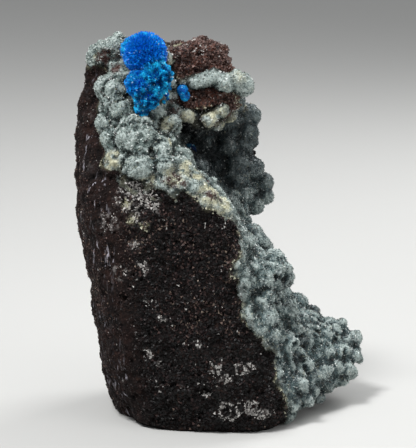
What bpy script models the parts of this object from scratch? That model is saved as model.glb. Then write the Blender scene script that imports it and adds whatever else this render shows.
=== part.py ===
# Cavansite rosettes on a druse-lined piece of basalt, broken from the wall of a cavity.
# Metres in the scene, millimetres in the values below. +Z up, the display side faces -Y.
import math
import random

import bmesh
import bpy
from mathutils import Matrix, Vector, noise
from mathutils.bvhtree import BVHTree

MM = 0.001
SEED = 11

# Faces of each solid, and the finest step of the rough surfaces they are thinned from.
MATRIX_FACES = 2500
CRUST_FACES = 3050
CLUSTER_FACES = 1500
MATRIX_VOXEL = 1.0
CRUST_VOXEL = 0.7
GAP = 0.3
SLIVER = 0.02

# The rock's plan at each height: how far left and front it reaches, where the front face
# ends at its right rim, the deepest place of the hollow behind that rim, the right hand
# end, how far back it reaches, and how deep the front left corner is cut.
#   height  left   front  rim   hollow_x, y    right_x, y   back  cut
ROCK = (
    (-3.0, -22.6, -20.5, 9.0, 11.5, -9.0, 13.0, 0.0, 17.0, 13.0),
    (0.0, -23.4, -22.2, 10.5, 14.5, -10.0, 17.0, 0.0, 18.5, 12.0),
    (6.0, -24.8, -23.8, 11.0, 18.0, -10.0, 25.5, 2.0, 21.0, 9.0),
    (10.0, -25.4, -24.0, 9.5, 17.5, -9.0, 28.8, 5.0, 22.0, 7.0),
    (14.0, -26.0, -23.8, 9.0, 15.0, -8.5, 25.6, 6.0, 23.0, 6.0),
    (18.0, -26.6, -23.4, 7.5, 13.6, -10.0, 19.6, 7.0, 23.8, 5.5),
    (22.0, -27.1, -23.0, 4.6, 11.4, -10.0, 15.2, 7.5, 24.3, 5.0),
    (27.0, -27.9, -22.6, 2.5, 9.0, -10.0, 11.6, 7.5, 24.8, 5.0),
    (32.0, -28.7, -22.3, 3.0, 8.2, -9.0, 8.8, 8.0, 25.2, 5.0),
    (37.0, -29.6, -22.0, 3.6, 5.4, -6.0, 5.6, 14.0, 25.5, 5.0),
    (42.0, -30.2, -21.6, 2.6, 1.5, 1.0, 6.4, 16.5, 25.6, 5.0),
    (46.0, -30.5, -21.0, 0.6, -1.5, 5.0, 9.0, 17.5, 25.5, 5.0),
    (50.0, -30.7, -19.2, -3.0, -4.5, 6.5, 7.6, 18.0, 25.2, 5.0),
    (55.0, -30.6, -15.6, -8.0, -8.0, 7.5, 6.0, 18.0, 24.4, 5.0),
    (60.0, -30.3, -11.6, -10.5, -8.0, 8.0, 5.4, 17.0, 22.6, 4.6),
    (66.0, -29.5, -8.2, -9.5, -4.0, 5.0, 4.0, 13.0, 19.4, 4.2),
    (72.0, -28.2, -5.6, -8.0, -4.0, 3.0, 0.0, 9.0, 15.5, 3.6),
    (76.5, -25.6, -3.2, -9.5, -7.0, 2.0, -4.0, 7.0, 12.0, 3.0),
)
RING_STEP = 2.0
RING_POINTS = 60

# The block of rock over the pocket: its outline across and up, where it lies in depth,
# and how much it narrows towards the back.
CAP_OUTLINE = (
    (-12.0, 66.0),
    (-12.3, 75.0),
    (-10.2, 78.4),
    (-7.2, 78.0),
    (-4.0, 79.8),
    (1.6, 78.4),
    (2.0, 75.4),
    (4.4, 72.0),
    (3.4, 66.6),
    (1.4, 62.8),
    (-3.0, 61.8),
    (-8.4, 63.4),
)
CAP_FRONT, CAP_BACK, CAP_BEVEL, CAP_TAPER = -6.2, 12.5, 1.1, 0.22
CAP_MIDDLE = Vector((-4.0, 0.0, 71.0))

# More rock joined to the hull, and hollows of the cavity wall: centre, radii, and the
# turn about the depth axis in degrees.
KNOBS = (
    ((-20.6, 9.5, 73.6), (3.8, 4.4, 4.7), 8.0),
    ((-23.2, 2.4, 75.0), (2.6, 4.2, 2.2), 0.0),
    ((8.6, -9.6, 31.0), (5.0, 3.6, 2.8), 0.0),
    ((-6.0, 9.0, 74.5), (7.0, 5.0, 3.4), 10.0),
)
POCKETS = (
    ((1.0, -3.0, 55.0), (7.0, 11.0, 8.6), -25.0),
    ((3.5, 4.0, 50.0), (4.6, 9.0, 8.0), -20.0),
    ((17.4, -1.0, 25.0), (4.2, 4.0, 9.0), -38.0),
)

# What the display side shows is placed by where it's seen from half a metre off, ten
# degrees above the horizon: how far across and how far up from the middle of that view.
EYE_DISTANCE = 500.0
LOOK_DOWN = math.radians(10.0)
VIEW_MIDDLE = Vector((-2.24, 0.0, 40.0))
LOOK = Vector((0.0, math.cos(LOOK_DOWN), -math.sin(LOOK_DOWN)))
VIEW_UP = Vector((0.0, math.sin(LOOK_DOWN), math.cos(LOOK_DOWN)))
EYE = VIEW_MIDDLE - LOOK * EYE_DISTANCE

# Gas bubbles open on the rock's faces: across, up and radius. Those of the back are
# placed by how far across and how high they lie.
BUBBLES = (
    (-0.6, -35.9, 2.0),
    (-15.4, 2.8, 1.1),
    (-15.6, -2.4, 1.2),
    (-18.2, -16.0, 1.3),
    (-9.6, -11.4, 1.0),
    (1.4, -6.2, 1.1),
    (-6.4, -22.0, 1.2),
    (8.6, -27.4, 1.0),
    (-1.6, 34.2, 1.1),
)
BACK_BUBBLES = (
    (-12.0, 60.0, 2.2),
    (4.0, 44.0, 2.4),
    (-20.0, 34.0, 1.8),
    (0.0, 22.0, 2.0),
    (12.0, 14.0, 1.6),
    (-10.0, 12.0, 1.5),
)

# Where the druse starts on the front: how far up the view, and how far across. Left of
# this is bare rock.
DRUSE_EDGE = (
    (-60.0, 16.0),
    (-41.6, 16.1),
    (-37.6, 16.7),
    (-35.5, 14.7),
    (-30.9, 15.8),
    (-25.6, 13.7),
    (-20.7, 7.0),
    (-16.2, 8.1),
    (-13.2, 7.6),
    (-9.0, 5.5),
    (-5.6, 6.4),
    (-1.9, 7.0),
    (2.4, 3.4),
    (5.4, -4.6),
    (7.8, -11.3),
    (9.2, -14.0),
    (11.5, -18.6),
    (13.5, -21.5),
    (17.1, -22.2),
    (23.9, -23.1),
    (27.6, -22.2),
    (30.8, -20.9),
    (33.6, -20.3),
    (35.4, -26.5),
    (60.0, -29.0),
)

# Lumps of the druse that stand out on the display side: across, up, radius.
LUMPS = (
    (-23.6, 36.8, 1.5),
    (-21.8, 37.4, 1.7),
    (-20.2, 36.6, 1.5),
    (-24.0, 34.4, 1.2),
    (-19.4, 40.2, 1.2),
    (-19.0, 31.8, 1.9),
    (-20.1, 28.4, 2.7),
    (-19.0, 24.4, 2.6),
    (-21.4, 21.1, 2.1),
    (-21.0, 17.7, 1.7),
    (-20.2, 14.6, 1.4),
    (-14.5, 19.4, 3.5),
    (-17.6, 18.8, 2.4),
    (-15.8, 15.4, 2.8),
    (-14.2, 12.4, 2.8),
    (-17.4, 12.6, 1.7),
    (-9.7, 15.8, 2.1),
    (-9.2, 12.2, 2.2),
    (-12.0, 9.8, 1.4),
    (-8.7, 21.4, 2.1),
    (-7.4, 17.7, 1.3),
    (-5.1, 19.7, 1.7),
    (-6.8, 24.0, 1.5),
    (-10.7, 24.0, 1.8),
    (-9.2, 27.0, 1.6),
    (-5.8, 13.2, 1.9),
    (-3.3, 11.0, 2.0),
    (-5.4, 8.6, 1.6),
    (-1.4, 8.2, 1.7),
    (0.6, 6.2, 1.7),
    (3.2, 4.2, 1.6),
    (-9.0, 8.6, 1.5),
    (-8.1, 30.8, 1.2),
    (-5.4, 29.4, 1.3),
    (-3.0, 30.2, 1.5),
    (-0.6, 30.9, 1.7),
    (1.6, 31.4, 1.8),
    (3.8, 30.2, 2.0),
    (6.0, 30.9, 2.0),
    (7.6, 29.6, 2.2),
    (-6.4, 38.2, 1.4),
    (-4.4, 23.4, 1.5),
    (-2.4, 21.9, 1.5),
    (0.2, 22.3, 1.5),
    (3.0, 24.6, 1.5),
    (8.0, 23.3, 2.0),
    (8.1, 20.0, 2.0),
    (7.4, 16.8, 2.0),
    (9.2, 11.6, 2.2),
    (12.0, 9.0, 2.2),
    (12.4, 6.0, 1.8),
    (10.2, 3.8, 1.9),
    (7.4, 6.4, 1.8),
    (4.0, 16.4, 2.0),
    (5.4, 12.0, 2.1),
    (9.0, -4.1, 1.6),
    (11.5, -6.6, 2.0),
    (14.4, -8.4, 1.5),
    (16.4, -9.6, 1.7),
    (10.7, -11.0, 2.3),
    (13.2, -14.2, 1.9),
    (10.0, -16.4, 2.3),
    (11.5, -20.2, 2.5),
    (15.4, -19.7, 2.2),
    (17.5, -22.8, 1.9),
    (16.0, -26.0, 2.1),
    (19.6, -16.4, 2.1),
    (22.0, -19.2, 1.9),
    (19.8, -25.0, 1.7),
    (24.4, -23.8, 1.8),
    (27.2, -22.6, 1.9),
    (29.6, -25.2, 1.8),
    (31.6, -28.2, 1.7),
    (28.0, -27.4, 1.5),
    (25.2, -27.6, 1.5),
    (30.0, -31.0, 1.5),
    (27.6, -30.6, 1.6),
    (28.8, -33.6, 1.5),
    (24.6, -31.8, 1.7),
    (21.8, -32.6, 1.8),
    (25.6, -35.2, 1.5),
    (22.8, -35.8, 1.7),
    (19.7, -30.0, 1.9),
    (17.6, -34.4, 2.0),
    (19.8, -36.8, 1.7),
    (17.0, -38.6, 1.5),
    (17.2, -40.4, 1.2),
)

# The lumps between them: how close they sit, their radii and how deep they're sunk. The
# lumps that stand out are raised by a fixed height and a share of their radius.
SEAT_TRIES = 16000
LUMP_SPACING = 2.35
LUMP_RADII = (2.2, 3.2)
LUMP_SINK = 0.9
LUMP_RISE, LUMP_STAND = 0.8, 0.35
DRUSE_DEPTH = 1.2

# Where the druse ends away from the front's edge: how low its lumps sit and its skin
# reaches, how far back it lines the wall, and the bare cap's left side, foot and front.
DRUSE_FOOT, CRUST_FOOT = 2.2, 0.4
DRUSE_BACK, DRUSE_TURN = 19.5, 8.0
EDGE_MARGIN, RIM_DEPTH = 1.2, -20.0
UNDERSIDE_TOP = 30.0
CAP_LEFT, CAP_SHOULDER = -13.0, 71.0
CAP_FACE_LEFT, CAP_FACE_FOOT, CAP_FACE_DEPTH = -11.0, 63.0, -3.5

# Rosettes of cavansite: centre across, depth and height, and radius.
UPPER_ROSETTE = ((-15.4, -8.6, 77.3), 4.9)
LOWER_ROSETTE = ((-14.4, -12.0, 72.2), 4.8)
FRINGE_ROSETTE = ((-16.0, -12.0, 67.9), 2.7)
SMALL_ROSETTE = ((-7.3, -6.9, 69.1), 1.6)
POCKET_ROSETTE = ((-6.4, 3.6, 55.0), 1.9)
SPINE = 0.1


def clear_scene():
    for obj in list(bpy.data.objects):
        bpy.data.objects.remove(obj, do_unlink=True)


def new_collection(name):
    collection = bpy.data.collections.new(name)
    bpy.context.scene.collection.children.link(collection)
    return collection


def finish_material(name, colour, roughness, metallic=0.0):
    material = bpy.data.materials.new(name)
    material.use_nodes = True
    shader = material.node_tree.nodes["Principled BSDF"]
    shader.inputs["Base Color"].default_value = (*colour, 1.0)
    shader.inputs["Roughness"].default_value = roughness
    shader.inputs["Metallic"].default_value = metallic
    return material


def add_object(name, mesh, collection, material=None):
    obj = bpy.data.objects.new(name, mesh)
    collection.objects.link(obj)
    if material:
        mesh.materials.append(material)
    return obj


def hide_helper(obj):
    obj.hide_render = True
    obj.display_type = "WIRE"
    return obj


def evaluated_mesh(obj):
    bpy.context.view_layer.update()
    graph = bpy.context.evaluated_depsgraph_get()
    return bpy.data.meshes.new_from_object(obj.evaluated_get(graph))


def mesh_from(bm, name):
    mesh = bpy.data.meshes.new(name)
    bm.to_mesh(mesh)
    bm.free()
    return mesh


def smooth_through(before, start, end, after, share):
    """A point on the Catmull-Rom curve from start to end. Works on numbers and on vectors."""
    square, cube = share * share, share * share * share
    return 0.5 * (
        2.0 * start
        + (end - before) * share
        + (2.0 * before - 5.0 * start + 4.0 * end - after) * square
        + (3.0 * start - before - 3.0 * end + after) * cube
    )


def rock_at(height):
    """The row of the rock's outline at any height, smoothed between the given ones."""
    last = len(ROCK) - 1
    row = max(i for i in range(last) if ROCK[i][0] <= height or i == 0)
    share = (height - ROCK[row][0]) / (ROCK[row + 1][0] - ROCK[row][0])
    around = [ROCK[min(max(i, 0), last)] for i in (row - 1, row, row + 1, row + 2)]
    columns = range(1, len(ROCK[0]))
    return [smooth_through(*(r[c] for r in around), share) for c in columns]


def rock_ring(height):
    """The rock's plan at one height, as evenly many points at every height."""
    left, front, rim, hollow_x, hollow_y, right, right_y, back, cut = rock_at(height)
    corner = Vector((left + 4.5, front + cut, height))
    front_left = Vector((left + 10.0, front + 0.3 * cut, height))
    side = Vector((left, 2.0, height))
    corners = [
        side,
        (side + corner) / 2 + Vector((-0.7, -0.7, 0.0)),
        corner,
        front_left,
        Vector(((front_left.x + rim) / 2, front, height)),
        Vector((rim, front + 1.4, height)),
        Vector((hollow_x, hollow_y, height)),
        Vector((right, right_y, height)),
        Vector((right - 2.0, right_y + 0.62 * (back - right_y), height)),
        Vector((right - 9.0, back - 1.0, height)),
        Vector((left + 14.0, back, height)),
        Vector((left + 5.0, back - 5.0, height)),
        Vector((left + 1.0, back * 0.45 + 1.0, height)),
    ]
    count = len(corners)
    ring = []
    for step in range(RING_POINTS):
        place = step * count / RING_POINTS
        i = int(place)
        around = [corners[(i + k) % count] for k in (-1, 0, 1, 2)]
        ring.append(smooth_through(*around, place - i))
    return ring


def lofted_rock():
    """The rock's hull: rings of unlike plans, bridged from the foot to the top."""
    bm = bmesh.new()
    levels = int((ROCK[-1][0] - ROCK[0][0]) / RING_STEP)
    heights = [ROCK[0][0] + i * RING_STEP for i in range(levels)] + [ROCK[-1][0]]
    rings = []
    for height in heights:
        circle = bmesh.ops.create_circle(bm, segments=RING_POINTS, radius=1.0)["verts"]
        for vert, point in zip(circle, rock_ring(height)):
            vert.co = point * MM
        rings.append(circle)
    for low, high in zip(rings, rings[1:]):
        loops = [e for e in bm.edges if all(v in low for v in e.verts)]
        loops += [e for e in bm.edges if all(v in high for v in e.verts)]
        bmesh.ops.bridge_loops(bm, edges=loops)
    for ring in (rings[0], rings[-1]):
        bmesh.ops.contextual_create(bm, geom=ring)
    bmesh.ops.recalc_face_normals(bm, faces=bm.faces)
    return mesh_from(bm, "hull")


def cap_block(collection):
    """The block over the pocket: its flat outline, extruded through its depth and bevelled."""
    curve = bpy.data.curves.new("cap_outline", "CURVE")
    curve.dimensions = "2D"
    curve.fill_mode = "BOTH"
    curve.extrude = (CAP_BACK - CAP_FRONT) / 2 * MM
    spline = curve.splines.new("POLY")
    spline.points.add(len(CAP_OUTLINE) - 1)
    spline.use_cyclic_u = True
    for point, (across, height) in zip(spline.points, CAP_OUTLINE):
        point.co = (across * MM, height * MM, 0.0, 1.0)
    obj = add_object("cap_outline", curve, collection)
    obj.rotation_euler.x = math.radians(90.0)
    obj.location.y = (CAP_FRONT + CAP_BACK) / 2 * MM
    mesh = evaluated_mesh(obj)
    mesh.transform(obj.matrix_world)
    bpy.data.objects.remove(obj)
    bm = bmesh.new()
    bm.from_mesh(mesh)
    bmesh.ops.remove_doubles(bm, verts=bm.verts, dist=0.01 * MM)
    bmesh.ops.bevel(
        bm,
        geom=[e for e in bm.edges if e.calc_face_angle(0.0) > 1.0],
        offset=CAP_BEVEL * MM,
        segments=2,
        profile=0.5,
        affect="EDGES",
    )
    for vert in bm.verts:
        place = vert.co / MM
        narrow = 1.0 - CAP_TAPER * (place.y - CAP_FRONT) / (CAP_BACK - CAP_FRONT)
        vert.co.x = (CAP_MIDDLE.x + (place.x - CAP_MIDDLE.x) * narrow) * MM
        vert.co.z = (CAP_MIDDLE.z + (place.z - CAP_MIDDLE.z) * narrow) * MM
    return mesh_from(bm, "cap_block")


def ball(bm, centre, radii, turn=0.0, divisions=3):
    """An ellipsoid in bm, in millimetres, turned about the depth axis."""
    matrix = (
        Matrix.Translation(Vector(centre) * MM)
        @ Matrix.Rotation(math.radians(turn), 4, "Y")
        @ Matrix.Diagonal((*[r * MM for r in radii], 1.0))
    )
    bmesh.ops.create_icosphere(bm, subdivisions=divisions, radius=1.0, matrix=matrix)


def balls_objects(name, rows, collection):
    """One helper for each ellipsoid of rows, as (centre, radii, turn)."""
    made = []
    for i, (centre, radii, turn) in enumerate(rows):
        bm = bmesh.new()
        ball(bm, centre, radii, turn)
        made.append(hide_helper(add_object(f"{name}_{i}", mesh_from(bm, name), collection)))
    return made


def tree_of(mesh):
    """The mesh as a tree that rays and nearest places are looked up in."""
    return BVHTree.FromPolygons(
        [v.co.copy() for v in mesh.vertices],
        [tuple(p.vertices) for p in mesh.polygons],
    )


def with_boolean(obj, operation, other):
    modifier = obj.modifiers.new(operation.lower(), "BOOLEAN")
    modifier.operation = operation
    modifier.solver = "EXACT"
    modifier.object = other


def with_remesh(obj, voxel):
    modifier = obj.modifiers.new("remesh", "REMESH")
    modifier.mode = "VOXEL"
    modifier.voxel_size = voxel * MM


def thinned(mesh, faces, collection):
    """The mesh with about this many triangles."""
    obj = add_object("thinning", mesh, collection)
    triangles = sum(len(p.vertices) - 2 for p in mesh.polygons)
    modifier = obj.modifiers.new("thin", "DECIMATE")
    modifier.ratio = min(1.0, faces / triangles)
    made = evaluated_mesh(obj)
    bpy.data.objects.remove(obj)
    return made


def grown(mesh, amount):
    """The mesh pushed out along its normals by this many millimetres."""
    made = mesh.copy()
    normals = [v.normal.copy() for v in made.vertices]
    for vert, normal in zip(made.vertices, normals):
        vert.co += normal * amount * MM
    return made


def seen_at(point):
    """How far across and up the display view this point is seen."""
    from_eye = point - EYE
    scale = EYE_DISTANCE / from_eye.dot(LOOK)
    return from_eye.x * scale, from_eye.dot(VIEW_UP) * scale


def seat_seen(tree, across, up):
    """The place of the rock seen here, or where it comes nearest to this line of sight."""
    aim = VIEW_MIDDLE + VIEW_UP * up + Vector((across, 0.0, 0.0))
    sight = (aim - EYE).normalized()
    point, normal, _, _ = tree.ray_cast(EYE * MM, sight)
    if point:
        return point, normal
    nearest = [tree.find_nearest((aim + sight * step) * MM) for step in range(-30, 25)]
    return min(nearest, key=lambda found: found[3])[:2]


def seat_behind(tree, across, height):
    """The place of the rock's back at this height."""
    start = Vector((across, 90.0, height)) * MM
    return tree.ray_cast(start, Vector((0.0, -1.0, 0.0)))[:2]


def edge_across(up):
    """How far across the druse starts on the front, at this place up the view."""
    for (low, start), (high, end) in zip(DRUSE_EDGE, DRUSE_EDGE[1:]):
        if low <= up <= high:
            return start + (end - start) * (up - low) / (high - low)
    return DRUSE_EDGE[-1][1]


def is_lined(point, normal):
    """Whether the rock is covered by druse at this point."""
    across, up = seen_at(point)
    if normal.x > 0.25:
        across += max(0.0, point.y - RIM_DEPTH)
    beyond_edge = across > edge_across(up) + EDGE_MARGIN and point.z > DRUSE_FOOT
    underside = normal.z < -0.55 and point.z < UNDERSIDE_TOP
    on_back = point.y > DRUSE_BACK or (normal.y > 0.45 and point.y > DRUSE_TURN)
    on_cap = point.x > CAP_LEFT and point.z > CAP_SHOULDER
    on_cap_face = point.x > CAP_FACE_LEFT and point.z > CAP_FACE_FOOT
    on_cap = on_cap or (on_cap_face and point.y < CAP_FACE_DEPTH)
    return beyond_edge and not (underside or on_back or on_cap)


def roughen(mesh):
    """Broken basalt: broad undulations, flat chips between ledges, and a granular skin.
    Under the druse it's smoother."""
    for vert in mesh.vertices:
        place = vert.co / MM
        broad = noise.noise(place / 13.0 + Vector((3.1, 0.0, 7.7)))
        chips = noise.voronoi(place / 6.5, distance_metric="DISTANCE")[0]
        ledges = 0.5 - min(1.0, chips[1] - chips[0])
        grain = noise.noise(place / 2.6 + Vector((9.0, 4.0, 1.0)))
        share = 0.3 if is_lined(place, vert.normal) else 1.0
        rise = 0.8 * broad - 0.6 * ledges + 0.4 * grain
        vert.co += vert.normal * rise * share * MM


def cut_below(mesh, height):
    """The mesh above this height, closed by a flat there."""
    bm = bmesh.new()
    bm.from_mesh(mesh)
    everything = bm.verts[:] + bm.edges[:] + bm.faces[:]
    bmesh.ops.bisect_plane(
        bm,
        geom=everything,
        dist=0.001 * MM,
        plane_co=(0.0, 0.0, height * MM),
        plane_no=(0.0, 0.0, -1.0),
        clear_outer=True,
    )
    bmesh.ops.holes_fill(bm, edges=[e for e in bm.edges if e.is_boundary], sides=0)
    bmesh.ops.recalc_face_normals(bm, faces=bm.faces)
    return mesh_from(bm, mesh.name)


def largest_piece(mesh):
    """The mesh without the slivers and loose crumbs that a cut can leave."""
    bm = bmesh.new()
    bm.from_mesh(mesh)
    bmesh.ops.remove_doubles(bm, verts=bm.verts, dist=SLIVER * MM)
    bmesh.ops.dissolve_degenerate(bm, dist=SLIVER * MM, edges=bm.edges)
    left, pieces = set(bm.verts), []
    while left:
        found, waiting = set(), [left.pop()]
        while waiting:
            vert = waiting.pop()
            found.add(vert)
            joined = {edge.other_vert(vert) for edge in vert.link_edges} & left
            left -= joined
            waiting.extend(joined)
        pieces.append(found)
    pieces.sort(key=len)
    crumbs = [v for piece in pieces[:-1] for v in piece]
    bmesh.ops.delete(bm, geom=crumbs, context="VERTS")
    return mesh_from(bm, mesh.name)


def build_rock(helpers):
    """The basalt: the lofted hull with the cap block over it and the cavity cut out."""
    rock = hide_helper(add_object("rock_hull", lofted_rock(), helpers))
    for pocket in balls_objects("pocket", POCKETS, helpers):
        with_boolean(rock, "DIFFERENCE", pocket)
    cap = hide_helper(add_object("cap", cap_block(helpers), helpers))
    for knob in (cap, *balls_objects("knob", KNOBS, helpers)):
        with_boolean(rock, "UNION", knob)
    with_remesh(rock, MATRIX_VOXEL)
    mesh = evaluated_mesh(rock)
    roughen(mesh)
    tree = tree_of(mesh)
    seats = [(*seat_seen(tree, across, up), radius) for across, up, radius in BUBBLES]
    seats += [(*seat_behind(tree, across, up), radius) for across, up, radius in BACK_BUBBLES]
    holes = bmesh.new()
    for point, normal, radius in seats:
        centre = point / MM + normal * radius * 0.15
        ball(holes, centre, (radius, radius * 0.9, radius * 0.8), 20.0, divisions=2)
    rough = hide_helper(add_object("rock_rough", mesh, helpers))
    bubbles = hide_helper(add_object("bubbles", mesh_from(holes, "bubbles"), helpers))
    with_boolean(rough, "DIFFERENCE", bubbles)
    thin = thinned(evaluated_mesh(rough), MATRIX_FACES, helpers)
    return cut_below(largest_piece(thin), 0.0)


def lump_seats(rock_mesh):
    """Seats for the druse's lumps, spread over the lined part of the rock: point and normal."""
    rng = random.Random(SEED)
    rock_mesh.calc_loop_triangles()
    seats = []
    triangles = list(rock_mesh.loop_triangles)
    areas = [t.area for t in triangles]
    for triangle in rng.choices(triangles, weights=areas, k=SEAT_TRIES):
        a, b = sorted((rng.random(), rng.random()))
        corners = [rock_mesh.vertices[i].co / MM for i in triangle.vertices]
        point = corners[0] * a + corners[1] * (b - a) + corners[2] * (1.0 - b)
        normal = triangle.normal
        if not is_lined(point, normal):
            continue
        if all((point - seat).length > LUMP_SPACING for seat, _ in seats):
            seats.append((point, Vector(normal)))
    return seats


def build_crust(rock_mesh, cutters, helpers):
    """The druse: grape-like lumps grown together over the cavity wall, as one shell."""
    rng = random.Random(SEED + 1)
    tree = tree_of(rock_mesh)
    bm = bmesh.new()
    for point, normal in lump_seats(rock_mesh):
        radius = rng.uniform(*LUMP_RADII)
        ball(bm, point - normal * LUMP_SINK, (radius,) * 3, divisions=2)
    for across, up, radius in LUMPS:
        point, normal = seat_seen(tree, across, up)
        centre = point / MM + normal * (LUMP_RISE + LUMP_STAND * radius)
        ball(bm, centre, (radius,) * 3, divisions=2)
    lumps = hide_helper(add_object("lumps", mesh_from(bm, "lumps"), helpers))
    with_remesh(lumps, CRUST_VOXEL)
    core = hide_helper(add_object("core", grown(rock_mesh, -DRUSE_DEPTH), helpers))
    with_remesh(core, MATRIX_VOXEL)
    with_boolean(lumps, "DIFFERENCE", core)
    thin = thinned(evaluated_mesh(lumps), CRUST_FACES, helpers)
    crust = hide_helper(add_object("crust_whole", cut_below(thin, CRUST_FOOT), helpers))
    wall = hide_helper(add_object("wall_cutter", grown(rock_mesh, GAP), helpers))
    for cutter in (wall, *cutters):
        with_boolean(crust, "DIFFERENCE", cutter)
    return largest_piece(evaluated_mesh(crust))


def rosette_mesh(row):
    """A ball of radiating crystals: each facet of an icosphere is drawn out to a point."""
    centre, radius = row
    rng = random.Random(SEED + int(radius * 100))
    bm = bmesh.new()
    ball(bm, centre, (radius * (1.0 - SPINE),) * 3, divisions=3 if radius > 3.5 else 2)
    middle = Vector(centre) * MM
    made = bmesh.ops.poke(bm, faces=bm.faces, offset=0.0)
    for vert in made["verts"]:
        stretch = 1.0 + SPINE * rng.uniform(0.7, 1.6)
        vert.co = middle + (vert.co - middle) * stretch
    return mesh_from(bm, "rosette")


def joined_rosettes(rows, helpers):
    """Rosettes that grew into each other, as one solid."""
    body, *others = [
        hide_helper(add_object(f"rosette_{i}", rosette_mesh(row), helpers))
        for i, row in enumerate(rows)
    ]
    for other in others:
        with_boolean(body, "UNION", other)
    return largest_piece(thinned(evaluated_mesh(body), CLUSTER_FACES, helpers))


def rosette_cutters(rows, helpers):
    """Clean balls a little larger than the rosettes, which the druse makes room for."""
    grown_rows = [(c, (r * (1.0 + SPINE / 2) + GAP,) * 3, 0.0) for c, r in rows]
    return balls_objects("rosette_cutter", grown_rows, helpers)


def rest_at_origin(objects):
    """Moves the stone so that the middle of its box's underside is the origin."""
    corners = [v.co for obj in objects for v in obj.data.vertices]
    middle_x = (min(c.x for c in corners) + max(c.x for c in corners)) / 2
    middle_y = (min(c.y for c in corners) + max(c.y for c in corners)) / 2
    for obj in objects:
        obj.data.transform(Matrix.Translation((-middle_x, -middle_y, 0.0)))
    print(f"moved by {-middle_x / MM:.3f}, {-middle_y / MM:.3f} mm")


def main():
    clear_scene()
    specimen = new_collection("cavansite_specimen")
    helpers = new_collection("helpers")
    basalt = finish_material("basalt", (0.045, 0.03, 0.027), 0.75)
    druse = finish_material("druse", (0.38, 0.43, 0.4), 0.35)
    blue = finish_material("cavansite_blue", (0.01, 0.12, 0.62), 0.4)

    twin = (UPPER_ROSETTE, LOWER_ROSETTE, FRINGE_ROSETTE)
    rock_mesh = build_rock(helpers)
    cutters = rosette_cutters((*twin, SMALL_ROSETTE, POCKET_ROSETTE), helpers)
    rock = hide_helper(add_object("rock_whole", rock_mesh, helpers))
    for cutter in cutters:
        with_boolean(rock, "DIFFERENCE", cutter)
    crust_mesh = build_crust(rock_mesh, cutters, helpers)
    nodes = [
        add_object("basalt_matrix", largest_piece(evaluated_mesh(rock)), specimen, basalt),
        add_object("druse_crust", crust_mesh, specimen, druse),
        add_object("cavansite_cluster", joined_rosettes(twin, helpers), specimen, blue),
        add_object("cavansite_small", rosette_mesh(SMALL_ROSETTE), specimen, blue),
        add_object("cavansite_pocket", rosette_mesh(POCKET_ROSETTE), specimen, blue),
    ]
    rest_at_origin(nodes)
    for obj in nodes:
        triangles = sum(len(p.vertices) - 2 for p in obj.data.polygons)
        print(obj.name, triangles, "triangles")


main()
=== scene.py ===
import math

import bmesh
import bpy
import numpy as np
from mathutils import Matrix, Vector, noise
from mathutils.bvhtree import BVHTree
from mathutils.kdtree import KDTree


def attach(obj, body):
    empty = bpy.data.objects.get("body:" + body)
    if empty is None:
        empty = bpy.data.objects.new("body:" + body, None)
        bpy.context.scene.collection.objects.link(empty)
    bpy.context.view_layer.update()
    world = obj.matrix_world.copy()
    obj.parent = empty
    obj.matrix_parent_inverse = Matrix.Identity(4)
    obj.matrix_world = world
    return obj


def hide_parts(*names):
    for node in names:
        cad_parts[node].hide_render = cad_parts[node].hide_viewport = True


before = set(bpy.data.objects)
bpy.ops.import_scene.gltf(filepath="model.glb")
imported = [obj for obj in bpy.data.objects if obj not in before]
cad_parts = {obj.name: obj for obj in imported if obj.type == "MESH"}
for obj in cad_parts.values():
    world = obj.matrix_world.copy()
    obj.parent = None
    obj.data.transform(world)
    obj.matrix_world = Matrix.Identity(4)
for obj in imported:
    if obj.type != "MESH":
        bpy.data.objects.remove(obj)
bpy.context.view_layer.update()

# A cavansite specimen: blue rosettes on a frosty druse that lines a broken wedge of basalt.
# Every length below is in millimetres, and mm turns it into Blender's metres.
mm = 0.001

view = {
    "target": (-2.964, -0.647, 40.0),  # what the camera looks at
    "distance": 500.0,
    "lookDown": 10.0,                  # degrees
    "lens": 188.1,
    "sensor": 36.0,
    "clip": (10.0, 20000.0),
}


def linearColour(hexColour):
    # an sRGB hex value, as a colour picker shows it, turned linear for a node
    channels = [int(hexColour[i:i + 2], 16) / 255 for i in (1, 3, 5)]
    return [c / 12.92 if c <= 0.04045 else ((c + 0.055) / 1.055) ** 2.4 for c in channels] + [1.0]


def addNode(tree, kind, inputs=None, **settings):
    # inputs takes sockets to link and plain values to set, by the name or number of the input
    node = tree.nodes.new(kind)
    for name, value in settings.items():
        setattr(node, name, value)
    for socket, value in (inputs or {}).items():
        if isinstance(value, bpy.types.NodeSocket):
            tree.links.new(value, node.inputs[socket])
        else:
            node.inputs[socket].default_value = value
    return node


def startMaterial(name):
    material = bpy.data.materials.new(name)
    material.use_nodes = True
    material.node_tree.nodes.clear()
    return material, material.node_tree


def finishMaterial(tree, inputs):
    shader = addNode(tree, "ShaderNodeBsdfPrincipled", inputs)
    addNode(tree, "ShaderNodeOutputMaterial", {0: shader.outputs[0]})


def paintedIn(tree, *names):
    # what the pieces are painted with, by name
    return {name: addNode(tree, "ShaderNodeAttribute", attribute_name=name).outputs["Fac"] for name in names}


def inMillimetres(tree):
    place = addNode(tree, "ShaderNodeTexCoord").outputs["Object"]
    return addNode(tree, "ShaderNodeMapping", {0: place, "Scale": [1.0 / mm] * 3}).outputs[0]


def blended(tree, share, first, second):
    # first where share is 0, second where it is 1; each is a socket or a hex colour
    first, second = (linearColour(c) if isinstance(c, str) else c for c in (first, second))
    return addNode(tree, "ShaderNodeMix", {0: share, 6: first, 7: second}, data_type="RGBA").outputs[2]


def product(tree, first, second):
    return addNode(tree, "ShaderNodeMath", {0: first, 1: second}, operation="MULTIPLY").outputs[0]


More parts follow.
